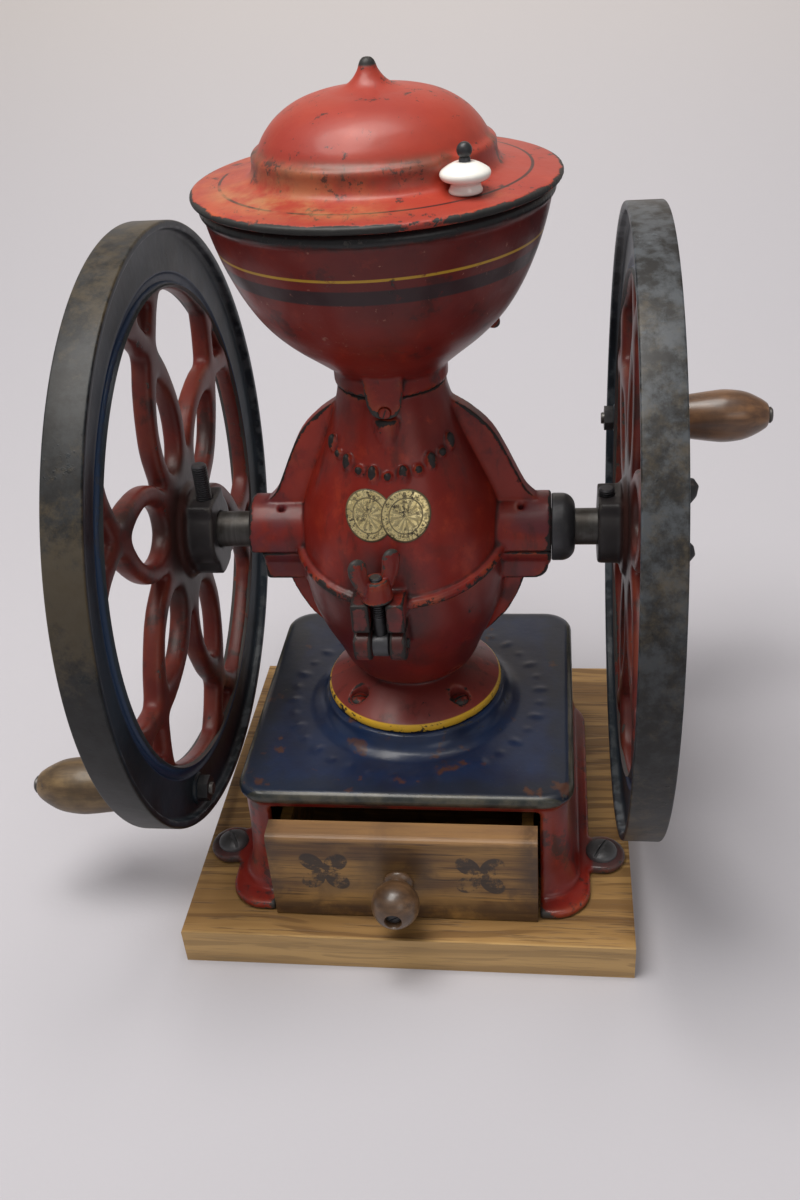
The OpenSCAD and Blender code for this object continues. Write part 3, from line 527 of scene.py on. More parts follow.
def hopper_paint(name):
    """Red enamel with a yellow line over a black band."""
    p = Paint(name)
    colour, chipped = red_enamel(p, 0.03, 2.0)
    blotch = p.step(p.add(p.noise(48, 6, 0.72, seed=24), p.mul(p.noise(12, 2, seed=25), 0.3)), 0.70, 0.80)
    colour = p.mix(p.mul(blotch, 0.7), colour, (0.032, 0.010, 0.010))
    wobble = p.mul(p.add(p.noise(20, 2), -0.5), 0.0006)
    z = p.add(p.z, wobble)
    outer = p.step(p.radius(p.x, p.y), 0.060, 0.062)
    faded = p.step(p.noise(120, 4, 0.7, seed=6), 0.30, 0.44)
    line = p.mul(p.band(z, 0.3590, 0.3602, 0.00018), p.mul(outer, faded))
    black = p.mul(p.band(z, 0.3482, 0.3549, 0.0004), p.mul(outer, p.step(faded, -0.3, 0.6)))
    colour = p.mix(line, colour, YELLOW)
    colour = p.mix(p.mul(black, 0.93), colour, (0.016, 0.012, 0.016))
    shade = p.mul(p.step(z, 0.322, 0.374), p.add(0.45, p.mul(p.noise(30, 4, seed=21), 0.6)))
    colour = p.mix(p.mul(shade, 0.62), colour, (0.040, 0.010, 0.010))
    speckle = p.step(p.add(p.noise(240, 5, 0.75, seed=22), p.mul(p.noise(28, 3, seed=23), 0.20)), 0.735, 0.76)
    colour = p.mix(p.mul(speckle, 0.8), colour, (0.30, 0.12, 0.085))
    # painted shadow of the lid: the rim top under the lid is painted black, its lower edge made ragged by noise
    rim_lid_shade = p.step(p.add(p.z, p.mul(p.noise(60, 5, 0.7, seed=9), 0.010)), 0.3772, 0.3808)
    colour = p.mix(rim_lid_shade, colour, BLACK)
    inside = p.step(p.attribute("inside"), 0.4, 0.6)
    colour = p.mix(inside, colour, p.mix(p.noise(40, 4), (0.05, 0.022, 0.016), (0.10, 0.045, 0.03)))
    return finish_paint(p, colour, chipped, gloss=0.34, coat=0.10, specular=0.30)


def lid_paint(name):
    """Red enamel faded to orange, a thin dark line near the rim and a black worn edge."""
    p = Paint(name)
    colour, chipped = red_enamel(p, 0.02, 5.0)
    colour = p.mix(0.5, colour, LID_RED)
    r = p.radius(p.x, p.y)
    side = p.step(p.add(p.x, p.mul(p.y, 0.6)), 0.010, -0.055)
    faded = p.step(p.add(p.noise(34, 6, 0.7, seed=3), p.mul(side, 0.13)), 0.56, 0.72)
    flat = p.step(r, 0.049, 0.055)
    colour = p.mix(p.mul(faded, p.add(p.mul(flat, 0.26), 0.04)), colour, ORANGE)
    colour = p.mix(p.mul(p.step(p.noise(17, 4, 0.6, seed=19), 0.42, 0.66), 0.55), colour, (0.25, 0.018, 0.012))
    line = p.mul(p.band(r, 0.0686, 0.0700, 0.00025), p.step(p.noise(50, 4, seed=12), 0.32, 0.46))
    colour = p.mix(p.mul(line, 0.92), colour, (0.022, 0.009, 0.009))
    scratch = p.noise(1.0, 5, 0.75, place=p.stretch(300, 60, 140), seed=4)
    scratch = p.mul(p.step(scratch, 0.60, 0.66), p.step(p.noise(26, 3, seed=15), 0.40, 0.60))
    colour = p.mix(p.mul(scratch, 0.85), colour, (0.050, 0.016, 0.014))
    flecks = p.step(p.add(p.noise(120, 6, 0.78, seed=16), p.mul(p.noise(22, 3, seed=17), 0.30)), 0.740, 0.765)
    colour = p.mix(p.mul(flecks, 0.90), colour, (0.028, 0.014, 0.013))
    front_left = p.step(p.add(p.mul(p.x, 0.55), p.mul(p.y, 0.85)), -0.036, -0.068)
    golden = p.mul(p.mul(front_left, flat), p.step(p.noise(38, 5, 0.65, seed=18), 0.40, 0.58))
    golden = p.mul(golden, p.step(r, 0.0790, 0.0660))
    colour = p.mix(p.mul(golden, 0.62), colour, (0.40, 0.21, 0.085))
    edge = p.step(p.add(r, p.add(p.mul(p.noise(48, 5, 0.72, seed=9), 0.0085),
                                 p.mul(p.noise(16, 2, seed=10), 0.0050))), 0.0877, 0.0885)
    step_dirt = p.mul(p.band(r, 0.0500, 0.0545, 0.0012), p.step(p.noise(30, 5, 0.7, seed=1), 0.44, 0.6))
    colour = p.mix(p.mul(step_dirt, 0.65), colour, (0.09, 0.05, 0.03))
    foot_chip = p.mul(p.band(r, 0.0512, 0.0570, 0.0012), p.step(p.noise(62, 6, 0.75, seed=26), 0.55, 0.60))
    colour = p.mix(p.mul(foot_chip, 0.85), colour, (0.030, 0.018, 0.014))
    chipped = p.math("MAXIMUM", chipped, p.math("MAXIMUM", edge, p.step(p.z, 0.4275, 0.4290)))
    return finish_paint(p, colour, chipped, under=(0.028, 0.027, 0.026), gloss=0.44, coat=0.16)


def base_paint(name):
    """Navy on the plate and plinth, its lip worn to metal, and red on the walls and feet."""
    p = Paint(name)
    red, chipped = red_enamel(p, 0.05, 9.0)
    drift = p.noise(14, 4, 0.6, seed=1)
    blue = p.mix(p.step(drift, 0.35, 0.65), NAVY_DEEP, NAVY)
    grey = p.step(p.add(p.mul(p.y, 3.2), p.noise(22, 5, 0.65, seed=2)), 0.62, 0.92)
    blue = p.mix(p.mul(grey, 0.6), blue, (0.040, 0.050, 0.070))
    brim = p.math("MAXIMUM", p.math("SUBTRACT", p.math("ABSOLUTE", p.x), 0.0865),
                  p.math("SUBTRACT", p.math("ABSOLUTE", p.y), 0.0840))
    grubby = p.step(p.add(p.mul(brim, 22.0), p.mul(p.noise(36, 5, 0.65, seed=12), 1.0)), 0.14, 0.42)
    blue = p.mix(p.mul(grubby, 0.55), blue, (0.016, 0.020, 0.022))
    rust_at = p.step(p.add(p.noise(48, 4, 0.6, seed=7), p.mul(p.step(p.y, 0.02, -0.07), 0.07)), 0.62, 0.68)
    blue = p.mix(p.mul(rust_at, 0.75), blue, (0.095, 0.036, 0.016))
    top = p.step(p.z, (PLATE_TOP - 6.5) * MM, (PLATE_TOP - 4.0) * MM)
    lip = p.step(p.math("MAXIMUM",
                        p.math("SUBTRACT", p.math("ABSOLUTE", p.x), 0.0865),
                        p.math("SUBTRACT", p.math("ABSOLUTE", p.y), 0.0840)), -0.0025, 0.0015)
    lip = p.mul(lip, p.step(p.z, (PLATE_TOP - 9) * MM, (PLATE_TOP - 5) * MM))
    worn_lip = p.step(p.add(p.mul(lip, 0.72), p.mul(p.noise(55, 5, 0.7, seed=3), 0.6)), 0.70, 0.86)
    colour = p.mix(top, red, blue)
    lip_colour = p.mix(p.step(p.noise(70, 5, 0.7, seed=5), 0.36, 0.64), (0.020, 0.024, 0.020), (0.085, 0.075, 0.050))
    colour = p.mix(p.mul(worn_lip, 0.85), colour, lip_colour)
    scuff = p.mul(p.math("SUBTRACT", 1.0, top), p.step(p.noise(46, 6, 0.72, seed=13), 0.52, 0.60))
    colour = p.mix(p.mul(scuff, 0.80), colour, (0.026, 0.014, 0.014))
    foot_edge = p.step(p.z, (BOARD_TOP + 1.4) * MM, (BOARD_TOP + 0.6) * MM)
    colour = p.mix(p.mul(foot_edge, 0.8), colour, BLACK)
    lugs = p.step(p.math("ABSOLUTE", p.x), 0.0985, 0.1010)
    lug_dirt = p.mul(lugs, p.step(p.noise(60, 4, seed=6), 0.30, 0.55))
    colour = p.mix(p.mul(lug_dirt, 0.85), colour, (0.055, 0.040, 0.042))
    return finish_paint(p, colour, chipped, gloss=0.32, coat=0.3)


def wheel_paint(name, centre_x):
    """Dark rim with brassy worn patches on the tread, a blue bead and red petals."""
    p = Paint(name)
    red, chipped = red_enamel(p, 0.035, 14.0 + centre_x * 30)
    r = p.radius(p.y, p.add(p.z, -AXLE_Z * MM))
    red = p.mix(p.add(0.30, p.mul(p.noise(26, 5, 0.65, seed=44), 0.70)), red, (0.062, 0.017, 0.014))
    rubbed = p.step(p.add(p.noise(40, 5, 0.68, seed=41), p.mul(p.noise(9, 2, seed=42), 0.4)), 0.72, 0.84)
    red = p.mix(p.mul(rubbed, 0.80), red, (0.024, 0.013, 0.012))
    near_hub = p.step(p.add(r, p.mul(p.noise(45, 4, 0.6, seed=43), 0.020)), 0.062, 0.042)
    red = p.mix(p.mul(near_hub, 0.88), red, (0.026, 0.014, 0.012))
    drift = p.noise(16, 5, 0.65, seed=3)
    dark = p.mix(p.step(drift, 0.38, 0.62), (0.010, 0.014, 0.018), (0.022, 0.034, 0.048))
    tread = p.step(r, 0.1572, 0.1580)
    along_tread = p.noise(7.5, 3, 0.5, seed=5)
    brassy = p.step(p.add(p.mul(along_tread, 0.75), p.mul(p.noise(120, 5, 0.75), 0.42)), 0.60, 0.72)
    # painted highlight and shade: the tread is painted lighter and bluish towards the top and darker towards the
    # bottom, fully on the right wheel and faintly on the left
    high = p.mul(p.step(p.z, 0.12, 0.34), 1.0 if centre_x > 0 else 0.15)
    tread_colour = p.mix(p.step(p.noise(90, 5, 0.7), 0.38, 0.62), (0.004, 0.005, 0.006),
                         p.mix(high, (0.010, 0.012, 0.014), (0.080, 0.092, 0.105)))
    tread_colour = p.mix(p.mul(brassy, 0.50), tread_colour, BRASSY)
    dark = p.mix(tread, dark, tread_colour)
    arris = p.band(r, 0.1545, 0.1562, 0.0005)
    dark = p.mix(p.mul(arris, p.step(p.noise(90, 4, seed=2), 0.45, 0.6)), dark, (0.075, 0.088, 0.10))
    bead = p.band(r, 0.1285, 0.1345, 0.0005)
    dark = p.mix(p.mul(bead, 0.8), dark, (0.020, 0.045, 0.105))
    edge_red = p.step(r, 0.1278, 0.1268)
    colour = p.mix(edge_red, dark, red)
    hub = p.step(p.math("ABSOLUTE", p.x), (WHEEL_IN + 1.5) * MM, (WHEEL_IN - 1.0) * MM)
    hub = p.mul(hub, p.step(r, 0.040, 0.034))
    hub_colour = p.mix(p.noise(60, 4, seed=8), (0.012, 0.013, 0.015), (0.038, 0.035, 0.036))
    colour = p.mix(p.mul(hub, 0.92), colour, hub_colour)
    return finish_paint(p, colour, p.mul(chipped, p.blend(edge_red, 0.35, 1.0)), gloss=0.40, coat=0.05, specular=0.24)


def dark_iron(name, tint=(0.055, 0.055, 0.058), metal=0.55, rough=0.42):
    """Handled old iron."""
    p = Paint(name)
    colour = p.mix(p.step(p.noise(80, 5, 0.65), 0.35, 0.65), tuple(c * 0.5 for c in tint), tint)
    rusty = p.step(p.noise(130, 4, 0.7, seed=4), 0.60, 0.70)
    colour = p.mix(p.mul(rusty, 0.5), colour, (0.075, 0.035, 0.018))
    colour = p.mix(p.mul(p.attribute("edge"), 0.6), colour, tuple(min(c * 3.2, 0.4) for c in tint))
    return p.finish(colour, p.blend(p.noise(110, 4), rough - 0.08, rough + 0.16),
                    p.noise(420, 4, 0.6), 0.10, metal=metal)


def turned_steel(name):
    """Dull shaft steel with faint turning marks round the axle."""
    p = Paint(name)
    rings = p.noise(1.0, 3, 0.6, place=p.stretch(900, 14, 14))
    colour = p.mix(rings, (0.045, 0.043, 0.040), (0.15, 0.145, 0.14))
    stain = p.step(p.noise(55, 4, 0.6, seed=2), 0.48, 0.66)
    colour = p.mix(p.mul(stain, 0.7), colour, (0.035, 0.028, 0.022))
    return p.finish(colour, p.blend(rings, 0.34, 0.52), rings, 0.05, metal=0.7)


def glaze(name):
    """White porcelain with fine dark specks and a warm foot."""
    p = Paint(name)
    colour = p.mix(p.noise(60, 3), (0.80, 0.79, 0.74), (0.86, 0.85, 0.81))
    speck = p.step(p.noise(420, 4, 0.7), 0.70, 0.74)
    colour = p.mix(p.mul(speck, 0.6), colour, (0.22, 0.18, 0.14))
    return p.finish(colour, 0.12, p.noise(200, 2), 0.03, coat=0.6)


def oak(name):
    """Golden oak, grain along X, with open pores."""
    p = Paint(name)
    warp = p.noise(7, 2, 0.5)
    y = p.add(p.y, p.mul(warp, 0.030))
    z = p.add(p.z, p.mul(warp, 0.012))
    bands = p.node("ShaderNodeCombineXYZ", p.mul(p.x, 2.2), p.mul(y, 46.0), p.mul(z, 95.0)).outputs[0]
    figure = p.noise(1.0, 3, 0.55, place=bands)
    colour = p.mix(p.step(figure, 0.33, 0.66), (0.185, 0.092, 0.028), (0.45, 0.265, 0.095))
    pores_at = p.node("ShaderNodeCombineXYZ", p.mul(p.x, 26.0), p.mul(p.y, 620.0), p.mul(p.z, 620.0)).outputs[0]
    pores = p.step(p.noise(1.0, 3, 0.6, place=pores_at), 0.54, 0.64)
    early = p.step(figure, 0.62, 0.36)
    colour = p.mix(p.mul(pores, p.blend(early, 0.30, 0.90)), colour, (0.070, 0.032, 0.012))
    lines = p.node("ShaderNodeCombineXYZ", p.mul(p.x, 4.0), p.mul(y, 190.0), p.mul(z, 260.0)).outputs[0]
    colour = p.mix(p.mul(p.step(p.noise(1.0, 2, 0.5, place=lines, seed=3), 0.52, 0.58), 0.70), colour, (0.115, 0.052, 0.017))
    colour = p.mix(p.mul(p.noise(12, 3), 0.22), colour, (0.50, 0.31, 0.12))
    # painted light: the board's front face is painted lighter and more golden than its top
    face = p.step(p.y, -0.1188, -0.1202)
    colour = p.mix(p.mul(face, 0.38), colour, (0.66, 0.44, 0.19))
    return p.finish(colour, p.blend(p.noise(60, 3), 0.40, 0.56), p.mul(pores, -1.0), 0.12, coat=0.10, specular=0.35)


def old_board(name, light=(0.320, 0.168, 0.042), dark=(0.095, 0.042, 0.012), marks=False):
    """Aged drawer wood with worn edges, stains and handling dirt; grain along X."""
    p = Paint(name)
    warp = p.noise(9, 2)
    grain_at = p.node("ShaderNodeCombineXYZ", p.mul(p.x, 6.0), p.add(p.mul(p.y, 90.0), warp),
                      p.add(p.mul(p.z, 105.0), warp)).outputs[0]
    grain = p.noise(1.0, 4, 0.6, place=grain_at)
    colour = p.mix(p.step(grain, 0.34, 0.66), dark, light)
    fine_at = p.node("ShaderNodeCombineXYZ", p.mul(p.x, 30.0), p.mul(p.y, 900.0), p.mul(p.z, 900.0)).outputs[0]
    fine = p.noise(1.0, 3, 0.6, place=fine_at)
    colour = p.mix(p.step(fine, 0.52, 0.70), colour, tuple(c * 0.45 for c in dark))
    stain = p.step(p.noise(38, 5, 0.62, seed=6, warp=0.6), 0.52, 0.66)
    colour = p.mix(p.mul(stain, 0.62), colour, (0.060, 0.030, 0.015))
    worn = p.step(p.noise(20, 4, 0.6, seed=2), 0.50, 0.68)
    colour = p.mix(p.mul(worn, 0.50), colour, (0.34, 0.190, 0.055))
    rubbed = p.math("MAXIMUM", p.attribute("edge"), p.step(p.z, 0.0755, 0.0785))
    colour = p.mix(p.mul(rubbed, 0.55), colour, (0.36, 0.20, 0.095))
    if marks:
        border = p.math("MAXIMUM", p.step(p.math("ABSOLUTE", p.add(p.x, 0.002)), 0.058, 0.070), p.step(p.z, 0.038, 0.029))
        border = p.mul(border, p.step(p.noise(52, 5, 0.65, seed=9), 0.32, 0.58))
        colour = p.mix(p.mul(border, 0.8), colour, (0.045, 0.022, 0.012))
        for mark_x in (-0.041, 0.041):
            colour = stencil(p, colour, mark_x)
        round_knob = p.radius(p.add(p.x, 0.003), p.add(p.z, -0.056))
        dark_at = p.mul(p.step(round_knob, 0.030, 0.008), p.step(p.noise(45, 4, seed=3), 0.30, 0.60))
        colour = p.mix(p.mul(dark_at, 0.7), colour, (0.050, 0.027, 0.016))
    height = p.add(p.mul(grain, 0.7), p.mul(fine, 0.5))
    return p.finish(colour, p.blend(p.noise(50, 4), 0.36, 0.60), height, 0.18, coat=0.12)


def stencil(p, colour, centre_x):
    """Worn dark rosette, a generic mark stencilled on the drawer."""
    dx = p.add(p.x, -centre_x)
    dz = p.add(p.z, -0.0555)
    r = p.radius(dx, dz)
    petals = p.math("ABSOLUTE", p.math("SINE", p.mul(p.math("ARCTAN2", dz, dx), 2.0)))
    reach = p.add(0.0052, p.mul(petals, 0.0108))
    shape = p.step(p.math("SUBTRACT", r, reach), 0.0008, -0.0004)
    left = p.step(p.noise(130, 5, 0.7, seed=centre_x * 90), 0.40, 0.52)
    return p.mix(p.mul(p.mul(shape, left), 0.9), colour, (0.020, 0.012, 0.009))


def grip_wood(name, light, dark, cracked):
    """Turned handle wood, grain along the grip, varnish rubbed through."""
    p = Paint(name)
    grain_at = p.node("ShaderNodeCombineXYZ", p.mul(p.x, 10.0), p.mul(p.y, 150.0), p.mul(p.z, 150.0)).outputs[0]
    grain = p.noise(1.0, 4, 0.62, place=grain_at)
    colour = p.mix(p.step(grain, 0.32, 0.68), dark, light)
    cloudy = p.step(p.noise(55, 4, 0.6, seed=5), 0.42, 0.66)
    colour = p.mix(p.mul(cloudy, 0.6), colour, tuple(c * 0.5 for c in dark))
    crack_at = p.node("ShaderNodeCombineXYZ", p.mul(p.x, 22.0), p.mul(p.y, 210.0), p.mul(p.z, 210.0)).outputs[0]
    crack = p.step(p.noise(1.0, 5, 0.72, place=crack_at, seed=8), 0.60, 0.66)
    colour = p.mix(p.mul(crack, cracked), colour, (0.020, 0.012, 0.008))
    height = p.add(p.mul(grain, 0.4), p.mul(crack, -1.4 * cracked))
    return p.finish(colour, 0.36 + 0.2 * cracked, height, 0.25, coat=0.5 - 0.4 * cracked)


def gilt(name, seed, centre):
    """Speckled gold foil with dark rings and a plain rayed rosette."""
    p = Paint(name)
    dx = p.add(p.x, -centre[0] * MM)
    dz = p.add(p.z, -centre[1] * MM)
    r = p.mul(p.radius(dx, dz), 1000 / 12.0)
    foil = p.mix(p.noise(300, 3, seed=seed), (0.70, 0.53, 0.19), (1.0, 0.88, 0.52))
    specks = p.step(p.noise(620, 5, 0.85, seed=seed + 1), 0.50, 0.53)
    wear = p.step(p.noise(170, 4, 0.6, seed=seed + 2), 0.36, 0.62)
    rays = p.math("SINE", p.mul(p.math("ARCTAN2", dz, dx), 12.0))
    rosette = p.mul(p.step(rays, -0.2, 0.4), p.step(r, 0.60, 0.52))
    rings = p.math("MAXIMUM", p.band(r, 0.94, 1.2, 0.012), p.band(r, 0.64, 0.69, 0.012))
    dark = p.math("MAXIMUM", p.mul(specks, p.blend(wear, 0.35, 1.0)), p.mul(rings, 0.85))
    dark = p.math("MAXIMUM", dark, p.mul(rosette, 0.55))
    colour = p.mix(dark, foil, (0.028, 0.020, 0.012))
    return p.finish(colour, p.blend(dark, 0.32, 0.55), p.mul(dark, -1.0), 0.05,
                    metal=p.mul(p.math("SUBTRACT", 1.0, dark), 0.75))


# ---- castings ----

BULB = spline([(26.5, 121), (35, 127), (41, 141), (47.3, 155), (52, 170), (54, 190),
               (52.5, 207), (49.5, 224), (42.5, 242), (34, 262), (28, 280),
               (26.5, HOPPER_Z - SEAT)], 7)
THROAT_R = 21.5
WALL = 5


def bulb_radius(z):
    """Radius of the casings' outer surface at a height."""
    for a, b in zip(BULB, BULB[1:]):
        if a.y <= z <= b.y:
            return a.x + (b.x - a.x) * (z - a.y) / (b.y - a.y)
    return BULB[0].x if z < BULB[0].y else BULB[-1].x


def half_space(side):
    """Block that covers all space above (1) or below (-1) the tilted parting plane."""
    low, high = (SEAT, FAR) if side > 0 else (-FAR, -SEAT)
    turn = Matrix.Translation((0, 0, AXLE_Z)) @ Matrix.Rotation(TILT, 4, "X")
    return prism("half", [(-FAR, -FAR), (FAR, -FAR), (FAR, FAR), (-FAR, FAR)], low, high, turn)


def casing_turned():
    profile = [(0, PLINTH_TOP + SEAT), (48.2, PLINTH_TOP + SEAT)]
    profile += [tuple(q) for q in arc(47.8, PLINTH_TOP + 1.4, 1.2, -70, 0, 4)]
    profile += [tuple(q) for q in arc(46.8, PLINTH_TOP + 3.6, 2.2, 0, 70, 5)]
    profile += [tuple(q) for q in spline([(46.5, 109.4), (42, 112), (36, 115.4), (30, 118.6)], 4)]
    profile += [tuple(q) for q in BULB] + [(0, HOPPER_Z - SEAT)]
    return lathe("turned", profile, segments=192)


def casing_hollow():
    inner = [(max(q.x - WALL, THROAT_R), q.y) for q in BULB if q.y > 126]
    profile = [(0, PLINTH_TOP - 2), (THROAT_R, PLINTH_TOP - 2), (THROAT_R, 126)]
    profile += inner + [(THROAT_R, HOPPER_Z + 2), (0, HOPPER_Z + 2)]
    return lathe("hollow", profile, segments=96)


UPPER_GUSSET = [(29, 277), (38, 271), (48, 261), (55, 248), (60, 237), (65, 227), (71, 221)]
LOWER_GUSSET = [(65, 181), (62.5, 173), (60, 165.8), (56.3, 158.3), (53, 152.5), (48, 147), (42, 141),
                (34, 136)]


def bearing_arm(side, end):
    """Boss, block and the two gussets on one side, as one solid."""
    upright = Matrix.Scale(side, 4, (1, 0, 0)) @ Matrix.Rotation(math.radians(90), 4, "X")
    arm = rod("arm", 19, 20, end, along("+X" if side > 0 else "-X", (0, 0, AXLE_Z)), 64, 1.2)
    upper = vecs([(15, 279.5)]) + spline(UPPER_GUSSET, 4) + vecs([(71, AXLE_Z), (15, AXLE_Z)])
    lower = vecs([(15, AXLE_Z), (68, AXLE_Z)]) + spline(LOWER_GUSSET, 4) + vecs([(15, 136)])
    foot = vecs([(30, AXLE_Z), (30, 180.7)]) + arc(end - 8.5, 187.7, 7, -90, 0) + vecs([(end - 1.5, AXLE_Z)])
    return join(arm, prism("upper_gusset", upper, -4.5, 4.5, upright),
                prism("lower_gusset", lower, -4.5, 4.5, upright),
                prism("foot", foot, -15, 15, upright))


def casing_blank():
    return join(casing_turned(), bearing_arm(1, BOSS_RIGHT), bearing_arm(-1, BOSS_LEFT))


def knuckles(side):
    """Hinge knuckles at the back of one casing."""
    hinge_y = span("hinge_pin")[0].y + 2.5
    hinge_z = span("hinge_pin")[0].z + 2.5
    ranges = [(-6, 6)] if side < 0 else [(6.3, 15), (-15, -6.3)]
    solids = []
    for x0, x1 in ranges:
        arm = keep(block("arm", (x0, 44, hinge_z - 6), (x1, hinge_y, hinge_z + 6)), half_space(side))
        solids.append(join(arm, rod("knuckle", 6, x0, x1, along("+X", (0, hinge_y, hinge_z)))))
    return solids, (hinge_y, hinge_z)


def seam_bead():
    """Round bead that follows the parting plane just above it."""
    path = []
    for k in range(160):
        a = TAU * k / 160
        z = AXLE_Z
        for _ in range(6):
            r = bulb_radius(z) + 0.9
            z = AXLE_Z + r * math.sin(a) * math.tan(TILT) + 2.6
        path.append(Vector((r * math.cos(a), r * math.sin(a), z)))
    return tube("bead", path, (3.1, 2.7), closed=True, up=Vector((0, -math.sin(TILT), math.cos(TILT))))


def ornament(count, span_deg, middle_deg, z, stand):
    """Row of small raised lozenges and dots round the front of the bulb."""
    solids = []
    for k in range(count):
        a = math.radians(middle_deg - span_deg / 2 + span_deg * k / (count - 1))
        droop = 9 * math.cos((k / (count - 1) - 0.5) * math.pi)
        height = z - droop
        r = bulb_radius(height) + stand
        turn = Matrix.Rotation(a + math.pi / 2, 3, "Z")
        size = (2.7, 2.4, 5.2) if k % 2 == 0 else (2.4, 2.2, 2.4)
        solids.append(ball("mark", (r * math.cos(a), r * math.sin(a), height), size, turn))
    return solids


def lower_casing():
    ears, pin = knuckles(-1)
    solid = keep(casing_blank(), half_space(-1), block("end", (-LOWER_LEFT, -FAR, 0), (FAR, FAR, FAR)))
    wing = (LATCH.x - 13, LATCH.x - 4.2), (LATCH.x + 4.8, LATCH.x + 13)
    for x0, x1 in wing:
        ear = join(rod("ear", 8.5, x0, x1, along("+X", (0, LATCH.y, LATCH.z))),
                   block("root", (x0, LATCH.y, LATCH.z - 8.5), (x1, LATCH.y + 25, LATCH.z + 8.5)))
        ears.append(ear)
    join(solid, *ears)
    pockets = []
    for x, y in PEDESTAL_SCREWS:
        spot = Matrix.Translation((x, y, 0))
        pockets.append(rod("pocket", 5.2, PLINTH_TOP + 6, 130, spot))
        pockets.append(rod("clear", 2.8, 90, 130, spot, 24))
    cut(solid, casing_hollow(), rod("bore", SHAFT_R + 0.05, -FAR, FAR, along("+X", (0, 0, AXLE_Z)), 64),
        rod("hinge", 2.5, -FAR, FAR, along("+X", (0, *pin))),
        rod("latch", 2.5, LATCH.x - 20, LATCH.x + 20, along("+X", (0, LATCH.y, LATCH.z))), *pockets)
    return solid


def upper_casing():
    ears, pin = knuckles(1)
    solid = keep(casing_blank(), half_space(1))
    fork = keep(block("fork", (LATCH.x - 13, LATCH.y - 6, 150), (LATCH.x + 13, LATCH.y + 24, 230)),
                rod("sweep", 26.2, -FAR, FAR, along("+X", (0, LATCH.y, LATCH.z)), 96), half_space(1))
    cut(fork, block("slot", (LATCH.x - 4.2, LATCH.y - 20, 150), (LATCH.x + 4.2, LATCH.y + 4.6, 230)))
    rib = join(rod("rib", 6, 262, TONGUE_Z - 0.4, Matrix.Translation((0, -27, 0)), edge=1.5),
               ball("toe", (0, -27, 262), (6, 6, 8)))
    join(solid, seam_bead(), fork, rib, *ears, *ornament(11, 112, -90, 262, 0.7))
    oil = [rod("oil", 1.7, AXLE_Z, AXLE_Z + 40, Matrix.Translation((x, -8, 0)), 24) for x in (-62, 62)]
    cut(solid, casing_hollow(), rod("bore", SHAFT_R + 0.05, -FAR, FAR, along("+X", (0, 0, AXLE_Z)), 64),
        rod("hinge", 2.55, -FAR, FAR, along("+X", (0, *pin))), *oil)
    return solid


def round_rect(half_x, low_y, high_y, radius, z, count=20):
    """Ring of points round a rectangle with round corners."""
    ring = []
    corners = [(half_x - radius, high_y - radius, 0), (-half_x + radius, high_y - radius, 90),
               (-half_x + radius, low_y + radius, 180), (half_x - radius, low_y + radius, 270)]
    for cx, cy, start in corners:
        ring += [Vector((q.x, q.y, z)) for q in arc(cx, cy, radius, start, start + 90, count)]
    return ring


def skirt(inset, top):
    """Walls of the base: upright under the plate, flared at the foot."""
    shape = spline([(0, 84), (0.4, 62), (1.6, 44), (3.4, 34), (5.6, 27), (7.0, 22)], 4)
    rings = [round_rect(86.5 + q.x - inset, -(85 + q.x * 1.25) + inset, 85 + q.x * 1.25 - inset,
                        max(14 + q.x - inset, 4), min(q.y, top)) for q in shape]
    return loft("skirt", rings)


def plate_ornament():
    """Ring of small raised leaves and dots on the plate round the plinth."""
    solids = []
    count = 36
    for k in range(count):
        a = TAU * (k + 0.5) / count
        turn = Matrix.Rotation(a, 3, "Z")
        size = (3.9, 1.9, 0.9) if k % 2 == 0 else (1.7, 1.7, 0.8)
        solids.append(ball("leaf", (71 * math.cos(a), 71 * math.sin(a), PLATE_TOP), size, turn))
    return solids


